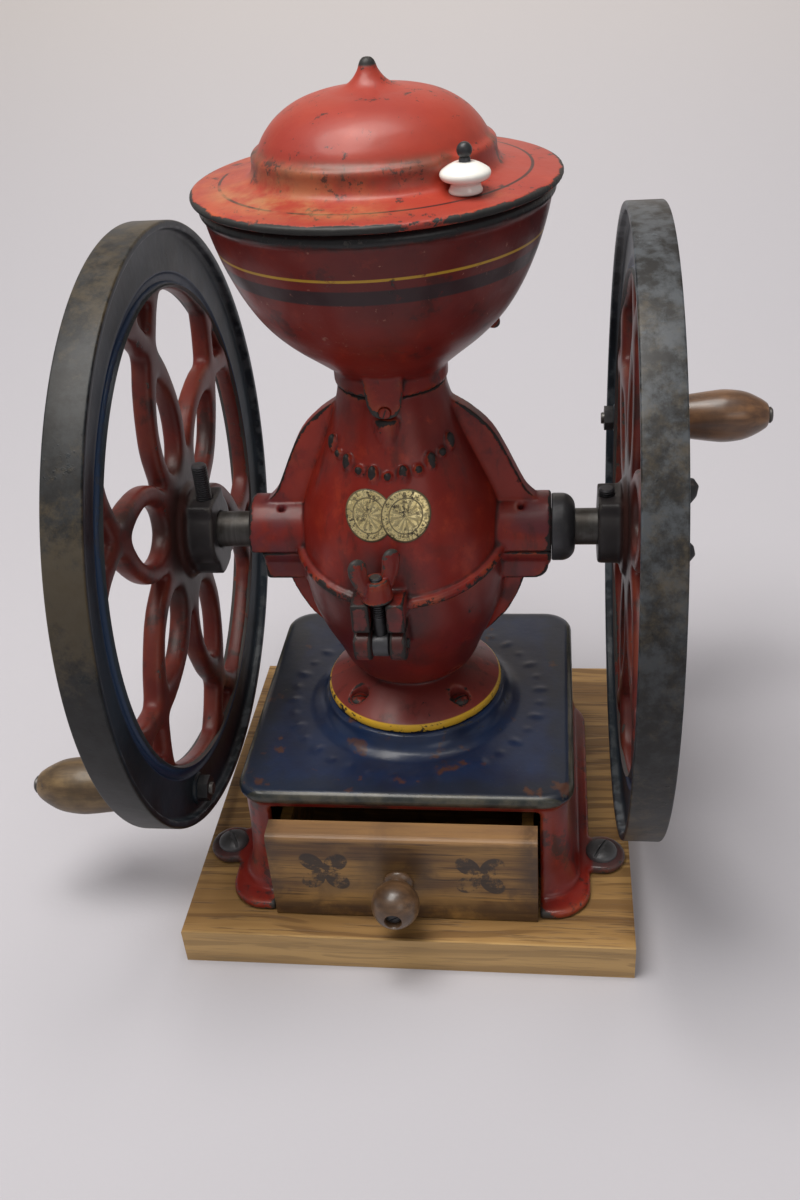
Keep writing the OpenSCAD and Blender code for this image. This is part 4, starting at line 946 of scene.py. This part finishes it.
def base_casting():
    lip = [(84.2, 3.0), (84.8, 1.0), (86.5, 0.1), (88.5, 0.0), (90.2, 0.7), (91.4, 2.0), (PLATE_TOP, 4.2)]
    plate = loft("plate", [round_rect(89.5 - d, -87 + d, 87 - d, 16 - d * 0.6, z) for z, d in lip])
    foot_low, foot_high = -103, 79
    foot = loft("foot", [round_rect(98.5 - d, foot_low + d, foot_high - d, 20 - d, z)
                         for z, d in ((BOARD_TOP, 0), (BOARD_TOP + 3.4, 0), (BOARD_TOP + 4.6, 0.7), (BOARD_TOP + 5, 2))])
    flare = [tuple(q) for q in arc(60.5, PLATE_TOP + 10, 9.5, 258, 180, 8)]
    plinth = lathe("plinth", [(0, PLATE_TOP - 2), (59, PLATE_TOP - 2), (59, PLATE_TOP)] + flare
                   + [(50.2, PLINTH_TOP - 0.3), (49.4, PLINTH_TOP), (0, PLINTH_TOP)], segments=160)
    solid = join(skirt(0, 99), foot, plate, plinth, *plate_ornament())
    lugs = []
    for side in (-1, 1):
        centre = (side * LUG_X, LUG_Y, 0)
        lug = rod("lug", 13, BOARD_TOP, BOARD_TOP + 5, Matrix.Translation(centre), 48, 0.8)
        inner, outer = sorted((side * 82, side * LUG_X))
        lugs.append(join(lug, block("neck", (inner, LUG_Y - 12, BOARD_TOP), (outer, LUG_Y + 12, BOARD_TOP + 4.9))))
    join(solid, *lugs)
    holes = [rod("hole", 3.3, 0, 40, Matrix.Translation((side * LUG_X, LUG_Y, 0)), 24) for side in (-1, 1)]
    holes += [rod("hole", 2.55, 80, 120, Matrix.Translation((x, y, 0)), 24) for x, y in PEDESTAL_SCREWS]
    cut(solid, skirt(WALL, 82.5), block("bay", (-71.5, -FAR, 10), (71.5, 0, 81)),
        block("under", (-75.5, -81, 10), (75.5, 81, 30)), rod("throat", THROAT_R, 70, 130), *holes)
    return solid


BOWL = spline([(27.8, 296.5), (31, 299.2), (38, 305), (49, 314.2), (58.5, 324.6), (66, 337), (72, 351),
               (75.6, 362.5), (77.6, 371)], 7)


def hopper():
    outer = [(0, HOPPER_Z), (27.1, HOPPER_Z), (27.8, HOPPER_Z + 0.7)] + [tuple(q) for q in BOWL]
    outer += [tuple(q) for q in arc(77.4, 376.2, 2.6, -78, 74, 8)]
    outer += [(77.6, RIM_Z - 0.4), (77.2, RIM_Z), (0, RIM_Z)]
    solid = lathe("hopper_casting", outer, segments=192)
    shield = vecs([(-9, 302), (-9, 292)]) + spline([(-8.2, 286), (-5.5, 281), (0, TONGUE_Z + 0.3), (5.5, 281),
                                                    (8.2, 286)], 4) + vecs([(9, 292), (9, 302)])
    lug = join(prism("tongue", shield, 28.2, 32.6, Matrix.Rotation(math.radians(90), 4, "X")),
               rod("body", 8, HOPPER_Z + 0.2, 301, Matrix.Translation((0, -24.5, 0)), 48, 1.5))
    join(solid, lug, *[ball("nub", (side * 50.3, 2, 313.4), (3.4, 3.4, 3.4)) for side in (-1, 1)])
    hollow = [(0, HOPPER_Z - 2), (THROAT_R, HOPPER_Z - 2), (THROAT_R, 297)]
    hollow += [(max(q.x - 3.5, THROAT_R), q.y) for q in BOWL if q.y > 301.5] + [(74.5, RIM_Z + 2), (0, RIM_Z + 2)]
    cut(solid, lathe("hollow", hollow, segments=192))
    boss = keep(rod("boss", 7.5, 362, RIM_Z, Matrix.Translation((PIVOT.x, PIVOT.y, 0))),
                rod("limit", 77.5, 300, 400, segments=96))
    join(solid, boss)
    cut(solid, rod("hole", 3, 364, 400, Matrix.Translation((PIVOT.x, PIVOT.y, 0)), 32),
        rod("screw", 2.55, 20, 50, along("-Y", (0, 0, HOPPER_Z - 5)), 32))
    return solid


def lid():
    dome = spline([(4.2, 427.2), (6.5, 423.8), (10, 421), (16, 419.3), (25, 417.8), (34, 414.8), (42, 409.8),
                   (47.5, 404), (50.3, 399.5)], 6)
    brim = spline([(54, 393), (55.4, 388.5), (60, 386.2), (LID_R - 1.5, 383.6)], 6)
    tip = [(0, TIP_Z), (1.6, TIP_Z - 0.25), (2.8, TIP_Z - 1.0), (3.6, TIP_Z - 2.4)]
    profile = tip + [tuple(q) for q in dome] + [(51.2, 398.4), (53, 397.6), (54.1, 396)]
    profile += [tuple(q) for q in brim] + [tuple(q) for q in arc(LID_R - 1.3, 382.2, 1.3, 80, 0, 4)]
    profile += [(LID_R - 0.4, RIM_Z + 0.6), (LID_R - 1.4, RIM_Z + 0.2), (57, RIM_Z + 0.2), (52, 384.5),
                (50.5, 389), (49.5, 395)]
    profile += [tuple(q) for q in spline([(47, 398), (42, 404.5), (35, 409), (25, 413), (10, 415.8), (0, 416.5)], 4)]
    solid = lathe("lid_casting", profile, segments=256)
    cut(solid, rod("pivot", 3.05, 370, 400, Matrix.Translation((PIVOT.x, PIVOT.y, 0)), 32),
        rod("seat", 6.6, 384.5, 400, Matrix.Translation((PIVOT.x, PIVOT.y, 0)), 48),
        rod("knob", 2.5, 370, 400, Matrix.Translation((KNOB.x, KNOB.y, 0)), 32),
        rod("flat", 7.3, KNOB_LOW.z - 0.1, 400, Matrix.Translation((KNOB.x, KNOB.y, 0)), 48),
        rod("hollow", 10.9, KNOB_LOW.z + 3.4, 400, Matrix.Translation((KNOB.x, KNOB.y, 0)), 64))
    return solid


# ---- wheels ----

def wheel_matrix(side):
    """Places a flat wheel, inner face at z = 0, upright on the axle."""
    flip = Matrix.Scale(side, 4, (1, 0, 0))
    return flip @ Matrix.Translation((WHEEL_IN, 0, AXLE_Z)) @ Matrix(
        ((0, 0, 1, 0), (1, 0, 0, 0), (0, 1, 0, 0), (0, 0, 0, 1)))


def wheel_rim(name, side):
    """Tread, recessed web and bead, turned."""
    half = [(126.5, 4.6), (127.6, 3.2)] + [tuple(q) for q in arc(131.2, 4.4, 2.9, 165, 15, 8)]
    half += [(134.4, 5.0), (136, 5.4), (152.8, 5.4), (154.3, 4.6), (154.8, 3.2)]
    half += [tuple(q) for q in arc(156.2, 1.3, 1.3, 180, 270, 4)]
    half += [tuple(q) for q in arc(WHEEL_R - 1.1, 1.1, 1.1, -90, 0, 4)]
    profile = half + [(r, WHEEL_W - z) for r, z in reversed(half)]
    return lathe(name, profile, wheel_matrix(side), segments=288)


# opening inside a petal, as (distance from the axle, half-width)
PETAL_EYE = [(35.5, 0), (39.5, 7.6), (48, 12.8), (60, 14.3), (70.5, 12.7), (81, 7.4), (89.5, 0)]
# opening between two petals, as (distance from the axle, half-angle)
PETAL_GAP = [(40.5, 0), (45.5, 1.6), (52.4, 3.7), (63.2, 7.1), (74, 12.1), (83, 16.5), (92.3, 20.7), (99.5, 24.3),
             (103.6, 25.4), (109.4, 23.3), (118, 20.4), (124.8, 17.3)]
TIP_HALF, TIP_START, RIM_IN = 5.6, 111.5, 125.4


def polar(radius, degrees):
    return Vector((radius * math.cos(math.radians(degrees)), radius * math.sin(math.radians(degrees))))


def both_sides(half):
    """Closes a half outline by its mirror image across X."""
    return half + [Vector((q.x, -q.y)) for q in reversed(half) if q.y > 1e-6]


def wheel_openings(first):
    """Solids that cut the eyes, gaps and tips between the petals."""
    eye = both_sides(spline(PETAL_EYE, 4))
    gap = spline([polar(r, a) for r, a in PETAL_GAP], 3)
    gap = both_sides(gap + [polar(RIM_IN, a) for a in (12, 8, 4, 0)])
    tip = both_sides([Vector((TIP_START, 0))] + [polar(RIM_IN, a) for a in (TIP_HALF, TIP_HALF / 2, 0)])
    solids = []
    for k in range(6):
        for outline, turn in ((eye, 0), (gap, 30), (tip, 0)):
            spin = Matrix.Rotation(math.radians(first + 60 * k + turn), 4, "Z")
            solids.append(prism("opening", outline, -5, WHEEL_W + 5, spin))
    return solids


def wheel_spokes(name, side, first, handle, hub_top, hub_block):
    """Round-sectioned petals with the hub, cast as one."""
    place = wheel_matrix(side)
    bars = lathe("bars", [(0, 3.7), (130, 3.7), (130, WHEEL_W - 3.7), (0, WHEEL_W - 3.7)], segments=192)
    cast(cut(bars, *wheel_openings(first)), 1.0, 32)
    hub = lathe("hub", [(0, 1)] + [tuple(q) for q in arc(23, 3.5, 2.5, -90, 0, 3)]
                + [tuple(q) for q in arc(23, WHEEL_W - 3.5, 2.5, 0, 90, 3)] + [(0, WHEEL_W - 1)], segments=96)
    collar = rod("collar", 19, -hub_top, 8, segments=64, edge=1.2)
    low, high, half = hub_block
    outline = arc(half - 9, low + 9, 9, -90, 0) + arc(half - 2, high - 2, 2, 0, 90, 3)
    outline += arc(2 - half, high - 2, 2, 90, 180, 3) + arc(9 - half, low + 9, 9, 180, 270)
    boss = prism("boss", outline, -hub_top, 2)
    solid = join(hub, collar, boss, bars)
    a = math.radians(handle)
    spot = Matrix.Translation((143 * math.cos(a), 143 * math.sin(a), 0))
    pad = rod("pad", 9, 3.5, WHEEL_W - 3.5, spot, 40, 0.8)
    join(solid, pad)
    cut(solid, rod("bore", SHAFT_R + 0.05, -40, 60, segments=64), rod("bolt", 3.5, -5, 30, spot, 32),
        rod("screw", 4.1, 0, 60, Matrix.Translation((0, 0, 105 - WHEEL_IN)) @ along("+Y"), 32))
    solid.data.transform(Matrix.Scale(1 / MM, 4) @ Matrix.Scale(1, 4))
    solid.data.transform(place)
    solid.data.transform(Matrix.Scale(MM, 4))
    if side < 0:
        solid.data.flip_normals()
    solid.name = name
    return solid


# ---- small parts ----

def slotted(name, radius, length, head_r, head_h, matrix, turn=0.0):
    """Slotted round-head screw, seat at local z = 0."""
    spin = matrix @ Matrix.Rotation(math.radians(turn), 4, "Z")
    dome = [(head_r, 0), (head_r, head_h * 0.25)]
    dome += [(head_r * math.cos(a), head_h * (0.25 + 0.75 * math.sin(a)))
             for a in (math.radians(15 * k) for k in range(1, 6))]
    solid = lathe(name, [(0, -length), (radius, -length), (radius, 0)] + dome + [(0, head_h)], spin, 64)
    slot = prism("slot", [(-head_r - 1, -head_r * 0.11), (head_r + 1, -head_r * 0.11),
                          (head_r + 1, head_r * 0.11), (-head_r - 1, head_r * 0.11)],
                 head_h * 0.5, head_h + 2, spin)
    return cut(solid, slot)


def threaded(name, radius, low, high, pitch, matrix, core=0.86, tail=None):
    """Rod with thread-like grooves between low and high; tail extends it plain to that height."""
    profile = [(0, tail if tail is not None else low)]
    if tail is not None:
        profile.append((radius, tail))
    turns = int((high - low) / pitch)
    for k in range(turns):
        z = low + k * pitch
        profile += [(radius, z), (radius, z + pitch * 0.35), (radius * core, z + pitch * 0.6)]
    end = low + turns * pitch
    profile += [(radius * 0.97, end), (radius * 0.8, end + radius * 0.22), (0, end + radius * 0.26)]
    return lathe(name, profile, matrix, 48)


def drawer_knob():
    low, high = span("drawer_knob")
    centre = (low + high) / 2
    length = high.y - low.y
    radius = (high.x - low.x) / 2
    middle = radius + 2.8
    profile = [(2.05, 0), (8, 0), (8.2, 0.8), (7.6, 1.8), (5.9, 3.0), (6.3, 4.3)]
    profile += [tuple(q) for q in arc(0, middle, radius, -50, 66, 18)]
    profile += [(4.6, length), (4.2, length - 0.8), (4.2, length - 3.6), (2.05, length - 3.7)]
    return lathe("drawer_knob_turned", profile, along("-Y", (centre.x, high.y, centre.z)), 96)


def grip(name, node, side, seed):
    """Turned handle grip with slight hand wear."""
    low, high = span(node)
    centre = (low + high) / 2
    start = low.x if side > 0 else high.x
    length = high.x - low.x
    outline = spline([(9.4, 0), (10.4, 1.2), (10.9, 8), (13.2, 26), (15.6, 44), (16.0, 52), (14.6, 62),
                      (11.2, 70), (7.6, length - 1.2), (5.2, length)], 6)
    profile = [(3.56, 0)] + [tuple(q) for q in outline] + [(3.56, length)]
    ob = lathe(name, profile, along("+X" if side > 0 else "-X", (start, centre.y, centre.z)), 96)
    rng = random.Random(seed)
    waves = [(rng.uniform(0.02, 0.06), rng.uniform(0, TAU), rng.randint(2, 5)) for _ in range(4)]
    for v in ob.data.vertices:
        y, z = v.co.y / MM - centre.y, v.co.z / MM - centre.z
        r = math.hypot(y, z)
        if r < 5:
            continue
        a = math.atan2(z, y)
        dent = sum(s * math.sin(n * a + f + v.co.x / MM * 0.06) for s, f, n in waves)
        k = (r - abs(dent) * 1.6) / r
        v.co.y = (centre.y + y * k) * MM
        v.co.z = (centre.z + z * k) * MM
    return ob


def wing_nut():
    """Latch wing nut with two upright ears."""
    low, _ = span("wing_nut")
    place = Matrix.Translation((LATCH.x, LATCH.y, low.z)) @ Matrix.Rotation(math.radians(32), 4, "Z")
    hub = lathe("latch_wing_nut", [(0, 0)] + [tuple(q) for q in arc(7.2, 0.8, 0.8, -90, 0, 3)]
                + [(7.4, 3.5), (6.6, 8.5), (5.6, 11), (0, 11)], place, 48)
    wings = []
    for side in (-1, 1):
        bends = ((3.5, 4), (6.0, 8), (7.9, 13), (8.8, 17.5), (9.0, 21), (8.9, 23.4), (8.8, 24.5))
        path = [place @ Vector((side * x, 0, z)) for x, z in bends]
        radii = [(4.2, 2.8), (4.0, 2.6), (4.4, 2.6), (4.9, 2.6), (4.7, 2.4), (3.2, 1.8), (1.0, 0.8)]
        flat = place.to_3x3() @ Vector((0, 1, 0))
        wings.append(tube("wing", path, radii, up=flat))
    solid = join(hub, *wings)
    return cut(solid, rod("bore", 3.25, -2, 30, place, 32))


def swing_bolt():
    low, high = span("swing_bolt")
    eye = rod("latch_swing_bolt", 6.5, LATCH.x - 4.2, LATCH.x + 4.2, along("+X", (0, LATCH.y, LATCH.z)), 48, 0.8)
    shank = threaded("shank", 3.2, LATCH.z + 16, high.z - 1.2, 1.3, Matrix.Translation((LATCH.x, LATCH.y, 0)), tail=LATCH.z)
    solid = join(eye, shank)
    return cut(solid, rod("pin", 2.55, -20, 20, along("+X", (LATCH.x, LATCH.y, LATCH.z)), 32))


def adjusting_screw():
    """Thumb screw on the shaft's end: hub with two uneven lobes."""
    spin = Matrix.Translation((0, 0, AXLE_Z)) @ Matrix.Rotation(math.radians(-12), 4, "X")
    hub = rod("thumb_screw", 10, 131, 141, along("+X", (0, 0, AXLE_Z)), 64, 2.0)
    stem = rod("stem", 4, 108, 132, along("+X", (0, 0, AXLE_Z)), 32)
    lobes = []
    for tip in (19, -15):
        path = [spin @ Vector((x, 0, z * tip / 19)) for x, z in ((137, 0), (138.5, 7), (142, 13.5), (145, 18.5), (147, 22.5), (147.5, 25))]
        radii = [(6.0, 3.4), (5.4, 3.2), (5.6, 3.0), (6.2, 3.0), (4.6, 2.4), (1.2, 0.9)]
        lobes.append(tube("lobe", path, radii, up=spin.to_3x3() @ Vector((0, 1, 0))))
    return join(hub, stem, *lobes)


def thrust_cap():
    low, high = span("thrust_cap")
    wide = high.x - low.x
    radius = (high.z - low.z) / 2
    profile = [(SHAFT_R + 0.05, 0), (radius - 0.6, 0), (radius, 0.6)]
    profile += [tuple(q) for q in arc(radius - 7, wide - 7, 7, 0, 84, 10)] + [(SHAFT_R + 0.05, wide)]
    return lathe("bearing_cap", profile, along("+X", (low.x, 0, AXLE_Z)), 96)


def porcelain_knob():
    profile = [(2.5, 0), (6.6, 0), (7.0, 0.6), (6.9, 1.6), (6.2, 3.0), (6.3, 4.1)]
    profile += [tuple(q) for q in spline([(7.4, 4.7), (9.6, 5.6), (10.5, 7.2), (10.0, 8.8), (8.0, 10.3), (5.8, 11.5),
                                          (4.2, 12.1), (2.5, 12.2)], 5)]
    return lathe("porcelain_knob", profile, Matrix.Translation((KNOB.x, KNOB.y, KNOB_LOW.z)), 96)


def knob_screw():
    low, high = span("lid_knob_screw")
    profile = [(0, low.z), (2.4, low.z), (2.4, high.z - 6.4), (1.9, high.z - 5.6)]
    profile += [tuple(q) for q in arc(0, high.z - 3.2, 3.2, -48, 90, 10)]
    return lathe("knob_bolt", profile, Matrix.Translation((KNOB.x, KNOB.y, 0)), 48)


def handle_spindle(name, side):
    """Bolt that carries one grip."""
    joint = JOINTS["left_grip_spin" if side < 0 else "right_grip_spin"]["pos_m"]
    y, z = joint[1] / MM, joint[2] / MM
    tip = 210
    profile = [(0, WHEEL_IN - 4), (3.2, WHEEL_IN - 4), (3.5, WHEEL_IN - 3.4), (3.5, WHEEL_IN + 15.1), (6, WHEEL_IN + 15.1),
               (6, WHEEL_IN + 19.2), (3.5, WHEEL_IN + 19.2), (3.5, tip - 2), (4.9, tip - 2), (5.0, tip - 0.9), (3.8, tip + 0.2),
               (0, tip + 0.4)]
    return lathe(name, profile, along("+X" if side > 0 else "-X", (0, y, z)), 48)


def decal(name, centre, lift, radius=12.0):
    """Thin round label that hugs the front of the bulb."""
    rings, around = 10, 64
    verts = []
    for layer in (lift, lift - 0.12):
        for k in range(rings + 1):
            for s in range(around):
                a = TAU * s / around
                x = centre[0] + radius * k / rings * math.cos(a)
                z = centre[1] + radius * k / rings * math.sin(a)
                r = bulb_radius(z) + layer
                verts.append((x, -math.sqrt(r * r - x * x), z))
    faces = []
    size = (rings + 1) * around
    for base in (0, size):
        for k in range(rings):
            for s in range(around):
                t = (s + 1) % around
                a, b = base + k * around, base + (k + 1) * around
                faces.append((a + s, a + t, b + t, b + s))
    edge = rings * around
    for s in range(around):
        t = (s + 1) % around
        faces.append((edge + s, edge + t, size + edge + t, size + edge + s))
    return make(name, verts, faces)


# ---- putting it together ----

def dress(ob, material, body, slot, *nodes):
    """Gives a piece its material and body, and the CAD nodes it stands for."""
    ob.data.materials.clear()
    ob.data.materials.append(material)
    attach(ob, body)
    if nodes:
        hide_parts(*nodes)
    return ob


def casting(name, solid, voxel, material, body, slot, *nodes, rounds=3, size=3.0):
    solid.name = name
    cast(solid, voxel, rounds)
    mark_edges(solid, size)
    return dress(solid, material, body, slot, *nodes)


def machined(ob, material, body, slot, *nodes, size=1.5, angle=40):
    """A piece whose edges stay crisp."""
    mark_edges(ob, size)
    ob.data.shade_smooth()
    ob.data.set_sharp_from_angle(angle=math.radians(angle))
    return dress(ob, material, body, slot, *nodes)


def inside_mark(ob):
    """Marks the hollow side of the hopper for its own colour."""
    mesh = ob.data
    co, _, _ = mesh_arrays(mesh)
    heights = np.array([q.y for q in BOWL] + [RIM_Z]) * MM
    radii = np.array([q.x for q in BOWL] + [78.0]) * MM
    surface = np.interp(co[:, 2], heights, radii)
    inside = np.hypot(co[:, 0], co[:, 1]) < surface - 0.0017
    layer = mesh.attributes.new("inside", "FLOAT", "POINT")
    layer.data.foreach_set("value", inside.astype(np.float32))


iron = dark_iron("dark_iron")
black_iron = dark_iron("black_iron", tint=(0.028, 0.028, 0.031), metal=0.4, rough=0.38)
steel = turned_steel("turned_steel")
red_iron = plain_red("worn_red", 0.16, 21.0)

casting("base_iron", base_casting(), 1.15, base_paint("base_enamel"), "mill", "base_paint", "base_casting")
casting("lower_bulb", lower_casing(), 0.9, casing_paint("lower_enamel", 1.0), "mill", "red_paint", "lower_casing")
casting("upper_bulb", upper_casing(), 0.85, casing_paint("upper_enamel", 6.0), "mill", "red_paint", "upper_casing")
bowl = casting("hopper_bowl", hopper(), 1.0, hopper_paint("hopper_enamel"), "mill", "hopper_paint", "hopper")
inside_mark(bowl)
casting("hopper_lid", lid(), 0.95, lid_paint("lid_enamel"), "lid", "lid_paint", "lid", rounds=2)

WHEELS = {-1: ("left", 33, 243, 13, (-24, 19.5, 13)), 1: ("right", 28, 358, 10.8, (-16, 19, 13))}
for side, (word, first, handle, hub_top, hub_block) in WHEELS.items():
    enamel = wheel_paint(word + "_wheel_enamel", side * WHEEL_IN * MM)
    rim = wheel_rim(word + "_rim", side)
    mark_edges(rim, 2.0)
    rim.data.set_sharp_from_angle(angle=math.radians(50))
    dress(rim, enamel, "shaft", "wheel_paint", word + "_wheel")
    spokes = wheel_spokes(word + "_spokes", side, first, handle, hub_top, hub_block)
    casting(word + "_spokes", spokes, 1.0, enamel, "shaft", "wheel_paint")
    machined(handle_spindle(word + "_handle_bolt", side), steel, "shaft", "steel", "handle_spindles")

machined(thrust_cap(), black_iron, "mill", "dark_iron", "thrust_cap")
casting("thumb_screw", adjusting_screw(), 0.5, black_iron, "adjuster", "dark_iron", "adjusting_screw", size=1.5)
casting("latch_wing_nut", wing_nut(), 0.4, red_iron, "wing_nut", "wing_paint", "wing_nut", size=1.5)
machined(swing_bolt(), black_iron, "swing_bolt", "dark_iron", "swing_bolt")
machined(porcelain_knob(), glaze("porcelain"), "lid", "porcelain", "lid_knob", angle=60)
machined(knob_screw(), black_iron, "lid", "dark_iron", "lid_knob_screw")
machined(drawer_knob(), grip_wood("knob_wood", (0.16, 0.085, 0.04), (0.055, 0.028, 0.014), 0.3), "drawer", "knob_wood",
         "drawer_knob", angle=50)
machined(grip("left_handle_grip", "left_grip", -1, 5), grip_wood("grip_old", (0.19, 0.120, 0.050), (0.065, 0.038, 0.017), 0.8),
         "left_grip", "grip_wood", "left_grip", angle=50)
machined(grip("right_handle_grip", "right_grip", 1, 8), grip_wood("grip_varnished", (0.22, 0.105, 0.042), (0.090, 0.040, 0.018), 0.2),
         "right_grip", "grip_wood", "right_grip", angle=50)

for k, side in enumerate((-1, 1)):
    lug_spot = Matrix.Translation((side * LUG_X, LUG_Y, BOARD_TOP + 5))
    lug_screw = slotted(f"lug_screw_{k + 1}", 3, 14, 8.6, 4.2, lug_spot, side * 62)
    machined(lug_screw, iron, "mill", "dark_iron", "base_screws")
for k, (x, y) in enumerate(PEDESTAL_SCREWS):
    spot = Matrix.Translation((x, y, PLINTH_TOP + 6))
    machined(slotted(f"pedestal_screw_{k + 1}", 2.5, 18, 4.8, 3, spot, 37 * k), red_iron, "mill", "dark_iron", "pedestal_screws")
pivot_spot = Matrix.Translation((PIVOT.x, PIVOT.y, 384.7))
machined(slotted("lid_pivot_bolt", 3, 18, 6, 3, pivot_spot, 20), iron, "mill", "dark_iron", "lid_pivot_screw")
machined(slotted("neck_screw", 2.45, 9, 2.8, 1, along("-Y", (0, -32.6, HOPPER_Z - 5)), 70), red_iron, "mill",
         "dark_iron", "hopper_screw")
knob_front = span("drawer_knob_screw")[0].y + 1.4
knob_mid = (span("drawer_knob_screw")[0] + span("drawer_knob_screw")[1]) / 2
machined(slotted("drawer_knob_bolt", 2, 30, 3.9, 1.4, along("-Y", (knob_mid.x, knob_front, knob_mid.z)), 30), iron, "drawer",
         "dark_iron", "drawer_knob_screw")

screw_x = 105 - WHEEL_IN
left_set = threaded("left_set_screw", 4.05, 14, 38, 1.25, wheel_matrix(-1) @ Matrix.Translation((0, 0, screw_x)) @ along("+Y"),
                    tail=SHAFT_R + 0.1)
machined(left_set, black_iron, "shaft", "dark_iron", "wheel_set_screws")
right_set = threaded("right_set_screw", 4.05, 14, 21.6, 1.25, wheel_matrix(1) @ Matrix.Translation((0, 0, screw_x)) @ along("+Y"),
                     tail=SHAFT_R + 0.1)
machined(right_set, black_iron, "shaft", "dark_iron", "wheel_set_screws")

dress(decal("left_medallion", (-10, 235), 0.28), gilt("gilt_left", 1.0, (-10, 235)), "mill", "red_paint")
dress(decal("right_medallion", (8, 235), 0.42), gilt("gilt_right", 5.0, (8, 235)), "mill", "red_paint")

KEPT = {
    "display_board": (oak("golden_oak"), 1.4),
    "drawer_front": (old_board("drawer_face", marks=True), 1.6),
    "drawer_left_side": (old_board("drawer_sides"), 0.6),
    "drawer_right_side": (old_board("drawer_sides_right"), 0.6),
    "drawer_back": (old_board("drawer_back_wood"), 0.6),
    "drawer_bottom": (old_board("drawer_floor"), 0.4),
    "main_shaft": (steel, 0.8),
    "handle_nuts": (iron, 0.6),
    "hinge_pin": (iron, 0.3),
    "latch_pin": (iron, 0.4),
    "fixed_burr": (iron, 0.0),
    "moving_burr": (iron, 0.0),
    "burr_screws": (iron, 0.0),
    "burr_key": (steel, 0.0),
    "push_rod": (steel, 0.0),
    "feed_worm": (iron, 0.0),
}
for name, (material, edge) in KEPT.items():
    node = frame["nodes"][name]
    node.data.materials.clear()
    node.data.materials.append(material)
    if edge:
        bevel = node.modifiers.new("worn_edges", "BEVEL")
        bevel.width = edge * MM
        bevel.segments = 3
        bevel.limit_method = "ANGLE"
        bevel.angle_limit = math.radians(40)

# ---- stage, light and camera ----

def stage():
    """Pale floor that sweeps up into a backdrop."""
    sweep = [(-2.6, 0), (0.30, 0)] + [tuple(q) for q in arc(0.30, 1.6, 1.6, -90, 0, 64)[1:]] + [(1.90, 3.6)]
    verts = [(x, y, z) for x in (-3.2, 3.2) for y, z in sweep]
    n = len(sweep)
    mesh = bpy.data.meshes.new("floor")
    mesh.from_pydata(verts, [], [(i, i + 1, n + i + 1, n + i) for i in range(n - 1)])
    mesh.shade_smooth()
    floor = bpy.data.objects.new("floor", mesh)
    scene.collection.objects.link(floor)
    p = Paint("pale_cloth")
    tone = p.mix(p.step(p.z, 0.0, 0.7), (0.51, 0.50, 0.54), (0.62, 0.565, 0.515))
    mesh.materials.append(p.finish(tone, 0.9, p.noise(300, 3), 0.1))


def area_light(name, place, target, size, watts, colour):
    data = bpy.data.lights.new(name, "AREA")
    data.shape = "DISK"
    data.size = size
    data.energy = watts
    data.color = colour
    lamp = bpy.data.objects.new(name, data)
    lamp.location = place
    lamp.rotation_euler = (Vector(target) - Vector(place)).to_track_quat("-Z", "Y").to_euler()
    scene.collection.objects.link(lamp)


def camera():
    """Camera at the photograph's viewing angle."""
    yaw, pitch, roll = math.radians(8.81), math.radians(33.02), math.radians(4.79)
    forward = Vector((-math.sin(yaw) * math.cos(pitch), math.cos(yaw) * math.cos(pitch), -math.sin(pitch)))
    right = Vector((math.cos(yaw), math.sin(yaw), 0))
    down = forward.cross(right)
    right_rolled = math.cos(roll) * right + math.sin(roll) * down
    down_rolled = -math.sin(roll) * right + math.cos(roll) * down
    turn = Matrix((right_rolled, -down_rolled, -forward)).transposed()
    data = bpy.data.cameras.new("camera")
    data.sensor_fit = "VERTICAL"
    data.sensor_height = 36
    data.lens = 36 * 1179.6 / 1200
    ob = bpy.data.objects.new("camera", data)
    ob.matrix_world = Matrix.Translation(Vector((78.06, -536.5, 510.1)) * MM) @ turn.to_4x4()
    scene.collection.objects.link(ob)
    scene.camera = ob


stage()
middle = (0, 0, 0.24)
area_light("key", (-0.45, -0.30, 1.75), middle, 1.1, 24, (1.0, 0.97, 0.92))
area_light("fill", (0.9, -1.4, 1.0), middle, 0.9, 2.8, (1.0, 0.97, 0.94))
area_light("backdrop", (0.0, 0.15, 1.9), (0, 1.6, 0.4), 1.0, 16, (1.0, 0.97, 0.93))
world = bpy.data.worlds.new("studio")
world.use_nodes = True
world.node_tree.nodes["Background"].inputs[0].default_value = (0.90, 0.89, 0.89, 1)
world.node_tree.nodes["Background"].inputs[1].default_value = 0.35
scene.world = world
scene.view_settings.view_transform = "Standard"
camera()
